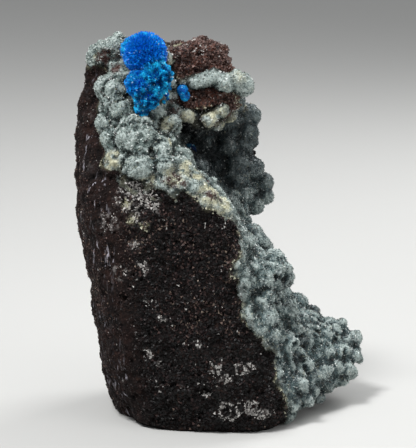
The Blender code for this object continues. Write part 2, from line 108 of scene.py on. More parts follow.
def ranged(tree, value, low, high, bottom=0.0, top=1.0):
    # the value's way from low to high, turned into one from bottom to top
    return addNode(tree, "ShaderNodeMapRange", {0: value, 1: low, 2: high, 3: bottom, 4: top}).outputs[0]


def cloudsAt(tree, place, size, detail):
    # noise whose clouds are about size millimetres across
    inputs = {"Vector": place, "Scale": 1 / size, "Detail": detail}
    return addNode(tree, "ShaderNodeTexNoise", inputs).outputs[0]


def colourRamp(tree, share, first, last, *between):
    node = addNode(tree, "ShaderNodeValToRGB", {0: share})
    ramp = node.color_ramp
    ramp.elements[0].color = linearColour(first)
    ramp.elements[1].color = linearColour(last)
    for position, colour in between:
        ramp.elements.new(position).color = linearColour(colour)
    return node.outputs[0]


def bumped(tree, height, strength, depth):
    bump = addNode(tree, "ShaderNodeBump", {"Height": height, "Strength": strength, "Distance": depth * mm})
    return bump.outputs[0]


def pointsOf(mesh):
    flat = np.empty(len(mesh.vertices) * 3, np.float32)
    mesh.vertices.foreach_get("co", flat)
    return flat.reshape(-1, 3).astype(float) / mm


def normalsOf(mesh):
    flat = np.empty(len(mesh.vertices) * 3, np.float32)
    mesh.vertex_normals.foreach_get("vector", flat)
    return flat.reshape(-1, 3).astype(float)


def movePoints(mesh, points):
    mesh.vertices.foreach_set("co", (points * mm).astype(np.float32).ravel())
    mesh.update()


def trianglesOf(mesh):
    mesh.calc_loop_triangles()
    index = np.empty(len(mesh.loop_triangles) * 3, np.int32)
    mesh.loop_triangles.foreach_get("vertices", index)
    return index.reshape(-1, 3)


def paint(mesh, name, values):
    layer = mesh.attributes.new(name, "FLOAT", "POINT")
    layer.data.foreach_set("value", np.asarray(values, np.float32))


def newPiece(name, mesh, material):
    mesh.materials.clear()
    mesh.materials.append(material)
    piece = bpy.data.objects.new(name, mesh)
    bpy.context.scene.collection.objects.link(piece)
    return piece


def mergedCopy(node, name):
    # a CAD node's mesh is loose triangles, so its copy is merged before anything shapes it
    shape = bmesh.new()
    shape.from_mesh(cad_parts[node].data)
    bmesh.ops.remove_doubles(shape, verts=shape.verts, dist=0.0005 * mm)
    mesh = bpy.data.meshes.new(name)
    shape.to_mesh(mesh)
    shape.free()
    return mesh


def remeshed(mesh, voxel):
    # one skin of even small faces over everything in the mesh
    helper = bpy.data.objects.new("remeshHelper", mesh)
    bpy.context.scene.collection.objects.link(helper)
    remesh = helper.modifiers.new("Remesh", "REMESH")
    remesh.mode = "VOXEL"
    remesh.voxel_size = voxel * mm
    bpy.context.view_layer.update()
    evaluated = helper.evaluated_get(bpy.context.evaluated_depsgraph_get())
    result = bpy.data.meshes.new_from_object(evaluated)
    bpy.data.objects.remove(helper)
    return result


def treeOf(mesh):
    return BVHTree.FromPolygons([Vector(p) for p in pointsOf(mesh)], trianglesOf(mesh).tolist())


def smoothStep(low, high, values):
    share = np.clip((np.asarray(values, float) - low) / (high - low), 0.0, 1.0)
    return share * share * (3.0 - 2.0 * share)


def noiseAt(points, width, pattern=0.0):
    # smooth noise from -1 to 1 whose lumps are about this wide; each use has a pattern of its own
    return np.array([noise.noise(Vector(p)) for p in points / width + pattern])


def wavesAt(points, rows):
    # noises laid over each other; a row is width, height, pattern
    return sum(height * noiseAt(points, width, pattern) for width, height, pattern in rows)


def blotchesAt(points, width, pattern, low, high):
    # 0 where the noise is below low and 1 where it is above high
    return smoothStep(low, high, noiseAt(points, width, pattern))


def pitsAt(points, size, share, reach=0.42, shuffle=7.3):
    # 1 in the middle of a hole and 0 outside it, for a share of the cells
    depth = []
    for p in points / size:
        distances, cells = noise.voronoi(Vector(p))
        held = noise.cell(cells[0] * shuffle) < share
        depth.append(max(0.0, 1.0 - distances[0] / reach) if held else 0.0)
    return smoothStep(0.0, 1.0, depth)


def knobsAt(points, size):
    # rounded grains: from -0.5 in the seams between them to 0.5 on top
    return np.array([0.5 - noise.voronoi(Vector(p))[0][0] for p in points / size])


def curvature(mesh, rounds):
    # how far each point stands out from its smoothed surroundings: above 0 on a crest
    shape = bmesh.new()
    shape.from_mesh(mesh)
    for _ in range(rounds):
        bmesh.ops.smooth_vert(shape, verts=shape.verts, factor=1.0,
                              use_axis_x=True, use_axis_y=True, use_axis_z=True)
    smooth = np.array([v.co for v in shape.verts]) / mm
    shape.free()
    return np.einsum("ij,ij->i", pointsOf(mesh) - smooth, normalsOf(mesh))


def templateOf(shape):
    bmesh.ops.triangulate(shape, faces=shape.faces)
    shape.verts.index_update()
    corners = np.array([v.co for v in shape.verts])
    faces = np.array([[v.index for v in f.verts] for f in shape.faces])
    shape.free()
    return corners, faces


def copiesMesh(name, template, places, axes):
    # one mesh of many copies: axes holds each copy's three scaled directions
    corners, faces = template
    spots = np.einsum("vj,nji->nvi", corners, axes) + places[:, None]
    index = faces[None] + (np.arange(len(places)) * len(corners))[:, None, None]
    mesh = bpy.data.meshes.new(name)
    mesh.from_pydata(spots.reshape(-1, 3) * mm, [], index.reshape(-1, 3))
    return mesh


def unit(ways):
    return ways / np.linalg.norm(ways, axis=1)[:, None]


def frameAround(directions, rng):
    # for each direction two more at right angles to it, turned by chance
    helper = rng.normal(size=directions.shape)
    first = unit(np.cross(directions, helper))
    return first, np.cross(directions, first)


def seatsOn(mesh, count, rng, keepFace):
    # evenly spread places on the faces that keepFace marks, with the outward direction there
    points, faces = pointsOf(mesh), trianglesOf(mesh)
    faces = faces[keepFace(points, faces)]
    a, b, c = (points[faces[:, i]] for i in range(3))
    cross = np.cross(b - a, c - a)
    area = np.linalg.norm(cross, axis=1)
    chosen = rng.choice(len(faces), count, p=area / area.sum())
    u, v = rng.random(count), rng.random(count)
    flip = u + v > 1.0
    u[flip], v[flip] = 1.0 - u[flip], 1.0 - v[flip]
    places = a[chosen] + u[:, None] * (b - a)[chosen] + v[:, None] * (c - a)[chosen]
    return places, cross[chosen] / area[chosen][:, None]


def spacedOut(places, spacing):
    # numbers of the places that keep this distance from those chosen before them
    cells, kept = {}, []
    steps = [(x, y, z) for x in (-1, 0, 1) for y in (-1, 0, 1) for z in (-1, 0, 1)]
    for number, place in enumerate(places):
        x, y, z = (int(v) for v in np.floor(place / spacing))
        near = [other for dx, dy, dz in steps for other in cells.get((x + dx, y + dy, z + dz), ())]
        if all(np.sum((place - other) ** 2) >= spacing * spacing for other in near):
            cells.setdefault((x, y, z), []).append(place)
            kept.append(number)
    return np.array(kept)


def joinedMesh(name, *meshes):
    shape = bmesh.new()
    for mesh in meshes:
        shape.from_mesh(mesh)
    joined = bpy.data.meshes.new(name)
    shape.to_mesh(joined)
    shape.free()
    return joined


def searchOf(points):
    search = KDTree(len(points))
    for number, point in enumerate(points):
        search.insert(Vector(point), number)
    search.balance()
    return search


def nearestIn(search, points):
    found = [search.find(Vector(p)) for p in points]
    return np.array([f[1] for f in found]), np.array([f[2] for f in found])


def showPiece(piece, node):
    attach(piece, "root")
    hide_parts(node)


print("stage: what the frame holds")
rockCad = mergedCopy("basalt_matrix", "rockCad")
crustCad = mergedCopy("druse_crust", "crustCad")
rockTree = treeOf(rockCad)
crustTree = treeOf(crustCad)


def distanceTo(tree, points, reach):
    found = (tree.find_nearest(Vector(p), reach) for p in points)
    return np.array([reach if place[0] is None else place[3] for place in found])


def covered(tree, points, normals, reach, start=0.02):
    # True where the other surface lies close in front of this one
    return np.array([tree.ray_cast(Vector(p + n * start), Vector(n), reach)[0] is not None
                     for p, n in zip(points, normals)])


def facedPoint(tree, across, up):
    # the place on the stone that shows at this distance right of and above the view's middle
    tilt = math.radians(view["lookDown"])
    target = Vector(view["target"])
    eye = target + view["distance"] * Vector((0.0, -math.cos(tilt), math.sin(tilt)))
    seen = target + Vector((across, 0.0, 0.0)) + up * Vector((0.0, math.sin(tilt), math.cos(tilt)))
    place = tree.ray_cast(eye, (seen - eye).normalized())[0]
    return np.array(place) if place is not None else None


def facedWay():
    # the direction in which the camera looks
    tilt = math.radians(view["lookDown"])
    return np.array((0.0, math.cos(tilt), -math.sin(tilt)))


def placedOn(tree, marks):
    # the spot of each mark with its other values, without the marks that miss the surface
    for across, up, *others in marks:
        spot = facedPoint(tree, across, up)
        if spot is not None:
            yield spot, *others


def patchesOn(tree, points, marks, edge=(0.45, 1.15)):
    # 1 in the middle of each mark and 0 outside it; a mark is across, up, radius, strength
    share = np.zeros(len(points))
    for spot, radius, strength in placedOn(tree, marks):
        away = np.linalg.norm(points - spot, axis=1)
        fade = smoothStep(edge[0] * radius, edge[1] * radius, away)
        share = np.maximum(share, strength * (1.0 - fade))
    return share


basalt = {
    "voxel": 0.44,  # spacing of the points of the dressed stone
    "waves": ((8.0, 0.6, 0.0), (2.6, 0.6, 31.0)),  # ledges and lumps: width, height, pattern
    "knob": (1.5, 0.5),  # width and height
    "pit": (1.7, 0.6),  # width and depth
    "pitShare": 0.28,
    "foot": (0.3, 1.6),  # the relief fades out over this height, so the base stays flat
    "drift": ((5.0, 3.0, 61.0), (1.6, 1.5, 62.0)),  # waves in the cap's border: width, reach, pattern
    "capFoot": (56.0, 63.0),  # the red weathered cap starts in this height
    "capSide": (-13.0, -8.5),  # and right of this
    "capRelief": 2.0,  # how much rougher the cap is
    "hiddenBelow": 1.6,  # stone this close under the druse doesn't show
    "sunkUnderDruse": 0.5,
    "druseReach": 2.0,  # the druse's edge is felt within this distance
    "lip": (0.3, 1.8, 0.95),  # towards the druse the stone swells: near, far, height
    "unseenBack": (-14.0, -8.0),  # the photo doesn't show what is behind this
    "unseenRight": (19.0, 23.0),  # or right of this
    "haze": (5.0, 91.0, 0.25, 0.5),  # chalky films there: width, pattern, thresholds
    "hazeShare": 0.5,
    "edgeRind": (0.2, 0.9, 0.7),  # pale edge along the druse: near, far, strength
    "rindBlotch": (2.4, 55.0, -0.25, 0.3),
    "leftLean": (0.12, 70.0),  # the left side leans by this slope about this height
    "redSide": (-28.0, -20.0),
    "redBlotch": (3.0, 8.0, -0.5, 0.4),
    "glintSide": (-28.0, -25.5),  # painted highlight: upright glints on the rounded left side
    "glintBlotch": (7.0, 71.0, -0.1, 0.35),
    "glintShare": (0.1, 0.8, 0.6),  # least, more in the blotches, fewer by this towards the back
    "glintBack": (-12.0, 0.0),
    "seam": (0.0, -0.3),  # painted shade: the seams between the knobs are darkened
    # strength of each coat of colour; the pit and seam coats are painted shade
    "paint": {"chalk": 0.6, "rind": 0.8, "red": 0.16, "pit": 0.8, "seam": 0.55},
}
grains = {
    "count": 74000,  # angular grains that stand out of the broken face
    "size": (0.15, 0.42),
    "foot": 0.6,  # none below this height
    "pitEdge": 0.45,  # and none inside the pits
    "outward": 0.8,  # how much they point away from the stone
    "calmSide": (-25.5, -21.5),  # the rounded left side is smoother
    "calm": (0.75, 0.35),  # by so many fewer grains, and so much smaller ones
    "patches": ((9.0, 0.5, 17.0), (1.6, 0.35, 23.0)),  # of lighter grains: width, strength, pattern
    "patchShare": 0.55,
    "spread": (1.3, 1.9),  # dark grains are more frequent than light ones
    "lowDark": (0.16, 30.0, 6.0),  # darker by this, from this height down to this
    "calmLight": 0.1,
    "faint": (3.0, 93.0, 0.05, 0.45),  # faint films all over
    "faintShare": 0.05,
    "chalkShare": 0.85,
    "chalkPaint": (0.35, 0.9),
    "rindPaint": (0.5, 1.0),
    "capPaint": (0.85, 0.16),
    "split": 36.0,  # two pieces, below and above this height
    "seed": 3,
}
chalk = {
    "reach": 2.5,  # a mark is worked out within this many radii
    "wobble": 1.3,  # width of the unevenness of its edge
    "ringWobble": 0.25,  # and how far it reaches, as a share of the radius
    "filmWobble": 0.6,
    "ringCore": 0.5,  # full strength within this share of the ring's width
    "film": (0.4, 1.1, 0.9),  # full within, gone beyond, strength
    "chipHollow": 0.2,  # the chip is deepest within this share of its radius
    "chipRim": (0.8, 0.3, 0.6),  # place of the white edge, and where it fades
    "chipLower": 0.3,  # it is white only this far below the chip's middle
}
# yellow-green rind on the stone: across, up, radius, strength
stoneRind = (
    (-20.6, 13.2, 1.8, 0.9), (-22.6, 30.0, 1.2, 0.5), (-17.6, 4.4, 1.2, 0.8), (-16.2, 1.0, 1.3, 0.6),
    (-13.6, -0.6, 1.2, 0.6), (-3.0, 8.0, 2.4, 0.7), (3.2, 3.4, 2.0, 0.7), (-6.4, 38.0, 1.7, 1.0),
    (-22.9, 29.6, 1.5, 0.5), (4.6, 22.6, 2.2, 0.5),
)
# chalky films on the broken face: across, up, radius of the patch, and the ring's width or 0
chalkMarks = (
    (-16.0, 7.2, 3.4, 0.0), (-13.4, 5.0, 2.6, 0.0), (-11.4, 3.4, 1.5, 0.0), (-15.6, 1.6, 1.5, 0.0),
    (-17.4, 3.0, 1.2, 0.0), (-21.4, 0.6, 2.8, 0.0), (-19.6, 5.2, 1.6, 0.0), (-15.9, -4.5, 1.2, 0.0),
    (-19.0, -10.4, 1.3, 0.45), (-14.4, -8.6, 1.2, 0.0), (-13.2, -10.0, 1.0, 0.0), (-2.4, -25.6, 1.1, 0.0),
    (-9.8, -20.2, 1.3, 0.0), (-13.0, -16.6, 1.0, 0.0), (-12.6, -27.6, 1.2, 0.0), (-10.4, -30.0, 0.9, 0.0),
    (1.9, -31.4, 2.0, 0.0), (3.6, -33.6, 1.9, 0.0), (6.9, -31.0, 1.0, 0.35), (8.9, -30.8, 0.8, 0.35),
    (4.4, -40.0, 2.0, 0.4), (3.8, -40.2, 1.2, 0.3), (9.4, -39.4, 2.2, 0.0), (12.0, -40.4, 1.6, 0.0),
    (-18.3, -33.7, 0.7, 0.0), (-19.6, -34.6, 0.6, 0.0),
)
# a chip whose lower edge is white: across, up, radius, depth
chip = (-0.4, -35.6, 1.3, 0.7)


def basaltMaterial():
    # Weathered vesicular basalt, broken by hand: dull near-black with rusty grains and chalky films
    material, tree = startMaterial("weathered vesicular basalt")
    place = inMillimetres(tree)
    turned = addNode(tree, "ShaderNodeMapping", {0: place, "Rotation": (0.4, 0.7, 0.2)}).outputs[0]
    painted = paintedIn(tree, "chalk", "rind", "cap", "pit", "glintStreak")
    # grains of about half a millimetre, each rusty, black or grey
    cells = addNode(tree, "ShaderNodeTexVoronoi", {"Vector": turned, "Scale": 1 / 0.55})
    luck = addNode(tree, "ShaderNodeSeparateColor", {0: cells.outputs["Color"]}).outputs
    grainColour = colourRamp(tree, luck[0], "#070506", "#48332a",
                             (0.45, "#0f0c0d"), (0.72, "#1e1614"), (0.9, "#32231d"))
    # slow changes between iron-stained and plain stone
    ironShare = ranged(tree, cloudsAt(tree, turned, 7.0, 4.0), 0.35, 0.7, 0.1, 0.6)
    plain = blended(tree, ironShare, "#0c090a", grainColour)
    fine = cloudsAt(tree, turned, 0.35, 3.0)
    speckled = blended(tree, ranged(tree, fine, 0.4, 0.72), plain, "#1e1716")
    # the cap is redder and lighter
    capGrain = blended(tree, luck[1], "#26130f", "#5f3f36")
    capped = blended(tree, painted["cap"], speckled, capGrain)
    # painted shade: the pits and the seams between the knobs are darkened
    pitShaded = blended(tree, painted["pit"], capped, "#040303")
    # chalky film, broken up finely
    flecks = cloudsAt(tree, place, 0.8, 5.0)
    chalkShare = product(tree, painted["chalk"], ranged(tree, flecks, 0.46, 0.62))
    chalked = blended(tree, chalkShare, pitShaded, "#8d8886")
    # painted highlight: upright glinting streaks on the rounded left side
    upright = addNode(tree, "ShaderNodeMapping", {0: place, "Scale": (1.4, 1.4, 0.2)}).outputs[0]
    glintStreaks = ranged(tree, cloudsAt(tree, upright, 1.0, 2.0), 0.6, 0.68)
    glintStreaked = blended(tree, product(tree, painted["glintStreak"], glintStreaks), chalked, "#aeaab3")
    # yellow-green rind next to the druse
    rindShare = product(tree, painted["rind"], ranged(tree, flecks, 0.35, 0.6))
    rinded = blended(tree, rindShare, glintStreaked, "#a9a78a")
    height = addNode(tree, "ShaderNodeMath", {0: fine, 1: cells.outputs["Distance"]}, operation="ADD")
    finishMaterial(tree, {"Base Color": rinded, "Roughness": 0.85, "IOR": 1.5, "Specular IOR Level": 0.12,
                          "Normal": bumped(tree, height.outputs[0], 0.7, 0.3)})
    return material


def grainMaterial():
    # Broken basalt grains: dull black and iron-stained facets, some with a chalky skin
    material, tree = startMaterial("broken basalt grains")
    painted = paintedIn(tree, "tone", "chalk", "rind", "cap")
    plain = colourRamp(tree, painted["tone"], "#040404", "#76685c",
                       (0.35, "#070606"), (0.55, "#130f10"), (0.72, "#2e1f1e"), (0.88, "#4e3b37"))
    red = blended(tree, painted["tone"], "#1c1110", "#876a62")
    capped = blended(tree, painted["cap"], plain, red)
    chalked = blended(tree, painted["chalk"], capped, "#c9c6c2")
    rinded = blended(tree, painted["rind"], chalked, "#b9b8a2")
    finishMaterial(tree, {"Base Color": rinded, "Roughness": 0.55, "IOR": 1.5, "Specular IOR Level": 0.3})
    return material


print("stage: basalt")
rockMesh = remeshed(rockCad.copy(), basalt["voxel"])
rockPoints, rockNormals = pointsOf(rockMesh), normalsOf(rockMesh)
footFade = smoothStep(*basalt["foot"], rockPoints[:, 2])
drift = wavesAt(rockPoints, basalt["drift"])
capShare = (smoothStep(*basalt["capFoot"], rockPoints[:, 2] + drift)
            * smoothStep(*basalt["capSide"], rockPoints[:, 0] + drift))
pits = pitsAt(rockPoints, basalt["pit"][0], basalt["pitShare"])
knobs = knobsAt(rockPoints, basalt["knob"][0])
chipAcross, chipUp, chipRadius, chipDeep = chip
chipSpot = facedPoint(rockTree, chipAcross, chipUp)
chipAway = np.linalg.norm(rockPoints - chipSpot, axis=1)
chipDepth = (1.0 - smoothStep(chalk["chipHollow"] * chipRadius, chipRadius, chipAway)) * chipDeep
relief = (wavesAt(rockPoints, basalt["waves"]) + knobs * basalt["knob"][1]
          - pits * basalt["pit"][1] - chipDepth)
relief *= 1.0 + (basalt["capRelief"] - 1.0) * capShare
underCrust = covered(crustTree, rockPoints, rockNormals, basalt["hiddenBelow"])
crustNear = distanceTo(crustTree, rockPoints, basalt["druseReach"])
lipNear, lipFar, lipHeight = basalt["lip"]
lip = lipHeight * (1.0 - smoothStep(lipNear, lipFar, crustNear))
rockMove = np.where(underCrust, -basalt["sunkUnderDruse"], (relief + lip) * footFade)
movedRock = rockPoints + rockNormals * rockMove[:, None]
movedRock[:, 2] = np.maximum(movedRock[:, 2], 0.0)
movePoints(rockMesh, movedRock)


def filmAt(points):
    # the films, the rings and the chip's white lower edge, at any places on the stone
    share = np.zeros(len(points))
    filmCore, filmEnd, filmStrength = chalk["film"]
    for across, up, radius, ringWidth in chalkMarks:
        spot = facedPoint(rockTree, across, up)
        if spot is None:
            continue
        away = np.linalg.norm(points - spot, axis=1)
        close = away < chalk["reach"] * radius
        wobble = chalk["ringWobble"] if ringWidth else chalk["filmWobble"]
        away = away[close] + noiseAt(points[close], chalk["wobble"], across) * wobble * radius
        if ringWidth:
            mark = 1.0 - smoothStep(chalk["ringCore"] * ringWidth, ringWidth, np.abs(away - radius))
        else:
            mark = filmStrength * (1.0 - smoothStep(filmCore * radius, filmEnd * radius, away))
        share[close] = np.maximum(share[close], mark)
    rimPlace, rimCore, rimEnd = chalk["chipRim"]
    rimAway = np.abs(np.linalg.norm(points - chipSpot, axis=1) - rimPlace * chipRadius)
    lower = points[:, 2] < chipSpot[2] - chalk["chipLower"]
    return np.maximum(share, (1.0 - smoothStep(rimCore, rimEnd, rimAway)) * lower)


def leftward(points):
    # how far right a place is, measured along the lean of the left side
    slope, height = basalt["leftLean"]
    return points[:, 0] + slope * (points[:, 2] - height)


# the sides and the back, which the photo doesn't show, have such films by chance
unseen = np.maximum(smoothStep(*basalt["unseenBack"], rockPoints[:, 1]),
                    smoothStep(*basalt["unseenRight"], rockPoints[:, 0]))
hazes = blotchesAt(rockPoints, *basalt["haze"]) * basalt["hazeShare"] * unseen
rindNear, rindFar, rindStrength = basalt["edgeRind"]
edgeRind = ((1.0 - smoothStep(rindNear, rindFar, crustNear))
            * blotchesAt(rockPoints, *basalt["rindBlotch"]))
rind = np.maximum(rindStrength * edgeRind, patchesOn(rockTree, rockPoints, stoneRind))
redSide = ((1.0 - smoothStep(*basalt["redSide"], leftward(rockPoints)))
           * blotchesAt(rockPoints, *basalt["redBlotch"]))
# painted highlight: where the upright glints lie on the rounded left side
leastGlints, moreGlints, fewerBehind = basalt["glintShare"]
glintStreaks = ((blotchesAt(rockPoints, *basalt["glintBlotch"]) * moreGlints + leastGlints)
           * (1.0 - fewerBehind * smoothStep(*basalt["glintBack"], rockPoints[:, 1])))
coat = basalt["paint"]
paint(rockMesh, "chalk", np.maximum(filmAt(rockPoints), hazes) * coat["chalk"])
paint(rockMesh, "rind", rind * coat["rind"])
paint(rockMesh, "cap", np.maximum(capShare, coat["red"] * redSide))
# painted shade in the pits and in the seams between the knobs
seams = smoothStep(*basalt["seam"], knobs) * coat["seam"]
paint(rockMesh, "pit", np.clip(pits * coat["pit"] + seams, 0.0, 1.0))
paint(rockMesh, "glintStreak", (1.0 - smoothStep(*basalt["glintSide"], leftward(rockPoints))) * glintStreaks)
rock = newPiece("basaltMatrix", rockMesh, basaltMaterial())
showPiece(rock, "basalt_matrix")
print("  basalt triangles", len(trianglesOf(rockMesh)))

print("stage: basalt grains")
rng = np.random.default_rng(grains["seed"])
pointShape = bmesh.new()  # a three-sided point, the least that still has facets
bmesh.ops.create_cone(pointShape, cap_ends=True, segments=3, radius1=1.0, radius2=0.0, depth=1.5)
bmesh.ops.translate(pointShape, verts=pointShape.verts, vec=(0.0, 0.0, 0.3))
threeSided = templateOf(pointShape)


def bareFaces(points, faces):
    # the stone's faces that show, without the base
    middle = points[faces].mean(axis=1)
    return ~underCrust[faces].any(axis=1) & (middle[:, 2] > grains["foot"])


spots, outward = seatsOn(rockMesh, grains["count"], rng, bareFaces)
nearest = nearestIn(searchOf(pointsOf(rockMesh)), spots)[0]
calm = 1.0 - smoothStep(*grains["calmSide"], leftward(spots))
fewer, smaller = grains["calm"]
kept = (pits[nearest] < grains["pitEdge"]) & (rng.random(len(spots)) > fewer * calm)
spots, outward, nearest, calm = spots[kept], outward[kept], nearest[kept], calm[kept]
lean = unit(rng.normal(size=outward.shape) + grains["outward"] * outward)
sideA, sideB = frameAround(lean, rng)
size = rng.uniform(*grains["size"], len(spots)) * (1.0 - smaller * calm)
axes = np.stack([sideA, sideB, lean], axis=1) * size[:, None, None]
darker, darkFrom, darkTo = grains["lowDark"]
patchy = wavesAt(spots, grains["patches"])
low = darker * smoothStep(darkFrom, darkTo, spots[:, 2])
tone = np.clip(rng.beta(*grains["spread"], len(spots)) + grains["patchShare"] * patchy
               - low + grains["calmLight"] * calm, 0.0, 1.0)
luck = rng.random(len(spots))
faint = grains["faintShare"] * blotchesAt(spots, *grains["faint"])
film = np.maximum(np.maximum(filmAt(spots), hazes[nearest]), faint)
capPaint, calmPaint = grains["capPaint"]
grainTones = {
    "tone": tone,
    "chalk": (luck < grains["chalkShare"] * film) * rng.uniform(*grains["chalkPaint"], len(spots)),
    "rind": (luck[::-1] < rind[nearest]) * rng.uniform(*grains["rindPaint"], len(spots)),
    "cap": np.maximum(capPaint * capShare[nearest], calmPaint * calm),
}
grainFinish = grainMaterial()
below = spots[:, 2] < grains["split"]
for number, mine in enumerate((below, ~below)):
    mesh = copiesMesh("basaltGrains", threeSided, spots[mine], axes[mine])
    for part, values in grainTones.items():
        paint(mesh, part, np.repeat(values[mine], len(threeSided[0])))
    piece = newPiece(f"basaltGrains{number}", mesh, grainFinish)
    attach(piece, "root")
    print("  grains", number, len(mesh.polygons))


druse = {
    "voxel": 0.42,  # spacing of the points of the finished crust
    "roughVoxel": 0.5,  # and of the crust while lumps and beads are added
    "thinned": 0.75,  # the crust between its lumps is sunk by this
    "least": 0.6,  # and stays at least this thick
    "swell": 1.8,  # how far the broad lobes at the lower right stand out
    "swellEdge": (0.82, 1.02),  # where they end, in shares of their radius
    "swellTurn": 0.4,  # how far sideways a face that swells may look
    "waves": ((2.6, 0.5, 3.0), (1.3, 0.3, 7.0)),  # under the lumps: width, height, pattern
    "raised": 0.2,
    "evenWaves": 0.45,  # so much less of them in the even places
    "evenEdge": (0.9, 1.1),  # where these places end, in shares of their radius
    "largeLump": 1.6,  # the lumps above this radius are sunk less
    "lumpSunk": (0.72, 0.62),  # small and large, as a share of the radius
    "growthSunk": 0.5,
    "lumpSeats": 9000,  # places tried for the other lumps
    "lumpSpacing": 2.5,
    "lumpGap": 0.5,  # and their distance from the lumps of the list
    "lumpRadius": (1.1, 1.9),
    "lumpMix": (7.0, 0.6, 19.0),  # areas of larger and smaller lumps: width, share, pattern
    "beads": 4600,  # small round growths on the lumps
    "beadRadius": (0.32, 0.66),
    "beadSunk": 0.4,
    "evenBeads": 0.9,  # so many fewer in the even places
    "rimBeads": 1500,  # beads that close the rim against the bare stone
    "rimRadius": (0.28, 0.5),
    "rimReach": 0.55,
    "rimFoot": 0.6,
    "edgeBeads": 1700,  # and larger ones that make the rim itself thick
    "edgeTries": 12,  # places tried for each of them
    "edgeRadius": (0.28, 0.66),
    "edgeReach": 0.75,
    "edgeSunk": 0.3,
    "edgeFoot": 0.8,
    "grain": (0.7, 0.12, 12.0),  # the finest unevenness: width, height, pattern
    "twist": (1.5, 0.34, 33.0),  # and the one that keeps the lumps from being round
    "evenTwist": 0.6,
    "crevice": 0.8,  # depth of the grooves
    "foot": 0.05,
    "farDepth": (-9.0, 1.0),  # the wall far back in the pocket begins in these ranges
    "farFoot": (40.0, 50.0),
    "farLeft": (-14.0, -7.0),
    "farTop": (70.0, 65.0),
    "farLumps": (0.6, 0.6),  # it has so many fewer and so much larger lumps
    # the sky that the stone hides around each place, which is painted as shade
    "shelterReach": 25.0,
    "shelterRays": 28,
    "shelterStart": 0.4,
    "shelterCorners": 4,  # corners that a place takes its shelter from
    "pocketShadeFrom": -2.0,  # the painted shade deep in the pocket lies behind this
    "rindEdge": (0.3, 1.7, 0.7),  # cream rim against the stone: near, far, strength
    "rindWander": (2.2, 0.8, 5.0),  # its unevenness: width, reach, pattern
    "coolHeight": (62.0, 30.0, 0.75),  # cooler grey lower down: from, to, share
    "coolSide": (0.0, 12.0, 0.25),  # and towards the right
    "coolClouds": (9.0, 0.5, 81.0),  # width, share, pattern
    "crest": (0.47, 1.6, 0.75, 0.2),  # level, small crests, large crests, frosted and painted lighter places
    "crestRounds": (5, 24),  # smoothing that finds the small and the large crests
    "seed": 7,
}
crystals = {
    "count": 120000,
    "size": (0.13, 0.28),  # radius of one micro crystal
    "stretch": (0.9, 1.5),
    "foot": 0.7,  # none below it, where the specimen stands
    "lean": 0.45,
    "sparkShare": 0.06,  # crystals that catch the light
    "spark": (0.4, 1.0),
    "clearSpark": 0.6,  # so much weaker on the clear druse
    "crestSpread": 0.34,  # differences from crystal to crystal
    "rindSpread": (0.22, 0.15, 0.75),  # spread, and where none and all of them are cream
    "stainSpread": (0.25, 0.3, 0.7),
    "bands": (17.0, 34.0, 50.0, 65.0),  # heights where the crystals are split into pieces
}
# lumps that show from the front: across, up, radius
standingLumps = (
    (-23.6, 36.8, 1.5), (-21.8, 37.4, 1.7), (-20.2, 36.6, 1.5), (-24.0, 34.4, 1.2), (-19.4, 40.2, 1.2),
    (-19.0, 31.8, 1.9), (-20.1, 28.4, 2.7), (-19.0, 24.4, 2.6), (-21.4, 21.1, 2.1), (-21.0, 17.7, 1.7),
    (-20.2, 14.6, 1.4), (-16.9, 18.2, 2.8), (-14.0, 18.4, 3.0), (-18.2, 13.8, 1.2), (-14.7, 12.2, 2.9),
    (-17.4, 11.4, 1.2), (-9.6, 15.8, 1.9), (-9.2, 12.2, 1.8), (-12.0, 8.8, 1.0), (-8.3, 21.4, 1.5),
    (-7.5, 17.7, 0.9), (-5.6, 19.4, 2.0), (-11.0, 20.6, 1.0), (-6.4, 13.0, 2.0), (-3.0, 10.0, 1.7),
    (-6.8, 24.0, 1.5), (-10.7, 24.0, 1.8), (-9.2, 27.0, 1.6), (-5.6, 8.6, 1.3), (-1.6, 8.4, 1.3),
    (0.6, 6.2, 1.5), (3.2, 4.2, 1.6), (-9.0, 8.6, 1.5), (-8.1, 30.8, 1.2), (-5.4, 29.4, 1.3),
    (-3.0, 30.2, 1.5), (-0.6, 30.9, 1.7), (1.6, 31.4, 1.8), (3.8, 30.2, 2.0), (6.0, 30.9, 2.0),
    (7.6, 29.6, 2.2), (-6.4, 38.2, 1.4), (-4.4, 23.4, 1.5), (-2.4, 21.9, 1.5), (0.2, 22.3, 1.5),
    (3.0, 24.6, 1.5), (8.0, 23.3, 2.0), (8.1, 20.0, 2.0), (7.4, 16.8, 2.0), (9.2, 11.6, 2.2),
    (12.0, 9.0, 2.2), (12.4, 6.0, 1.8), (10.2, 3.8, 1.9), (7.4, 6.4, 1.8), (4.0, 16.4, 2.0),
    (5.4, 12.0, 2.1), (14.0, -8.6, 1.0), (16.4, -9.4, 1.5), (14.8, -17.4, 1.0), (17.4, -19.6, 0.9),
    (18.5, -22.2, 0.9), (17.6, -24.4, 0.9), (23.0, -22.6, 1.2), (21.6, -25.4, 1.1), (25.4, -23.6, 1.3),
    (27.2, -22.6, 1.5), (29.6, -25.2, 1.4), (31.6, -28.2, 1.3), (28.0, -27.4, 1.2), (25.2, -27.6, 1.1),
    (30.0, -31.0, 1.2), (27.6, -30.6, 1.2), (28.8, -33.6, 1.2), (24.6, -31.8, 1.3), (21.8, -30.2, 1.1),
    (25.6, -35.2, 1.0), (22.8, -35.8, 1.1), (22.4, -33.0, 0.9), (20.6, -37.0, 0.9), (17.2, -41.0, 0.8),
    (16.9, -28.4, 1.3), (17.6, -30.6, 1.2), (16.4, -26.8, 1.5), (6.8, -6.4, 1.2), (6.2, -8.6, 1.0),
    (9.4, -2.2, 2.4), (11.2, -4.0, 2.0),
)
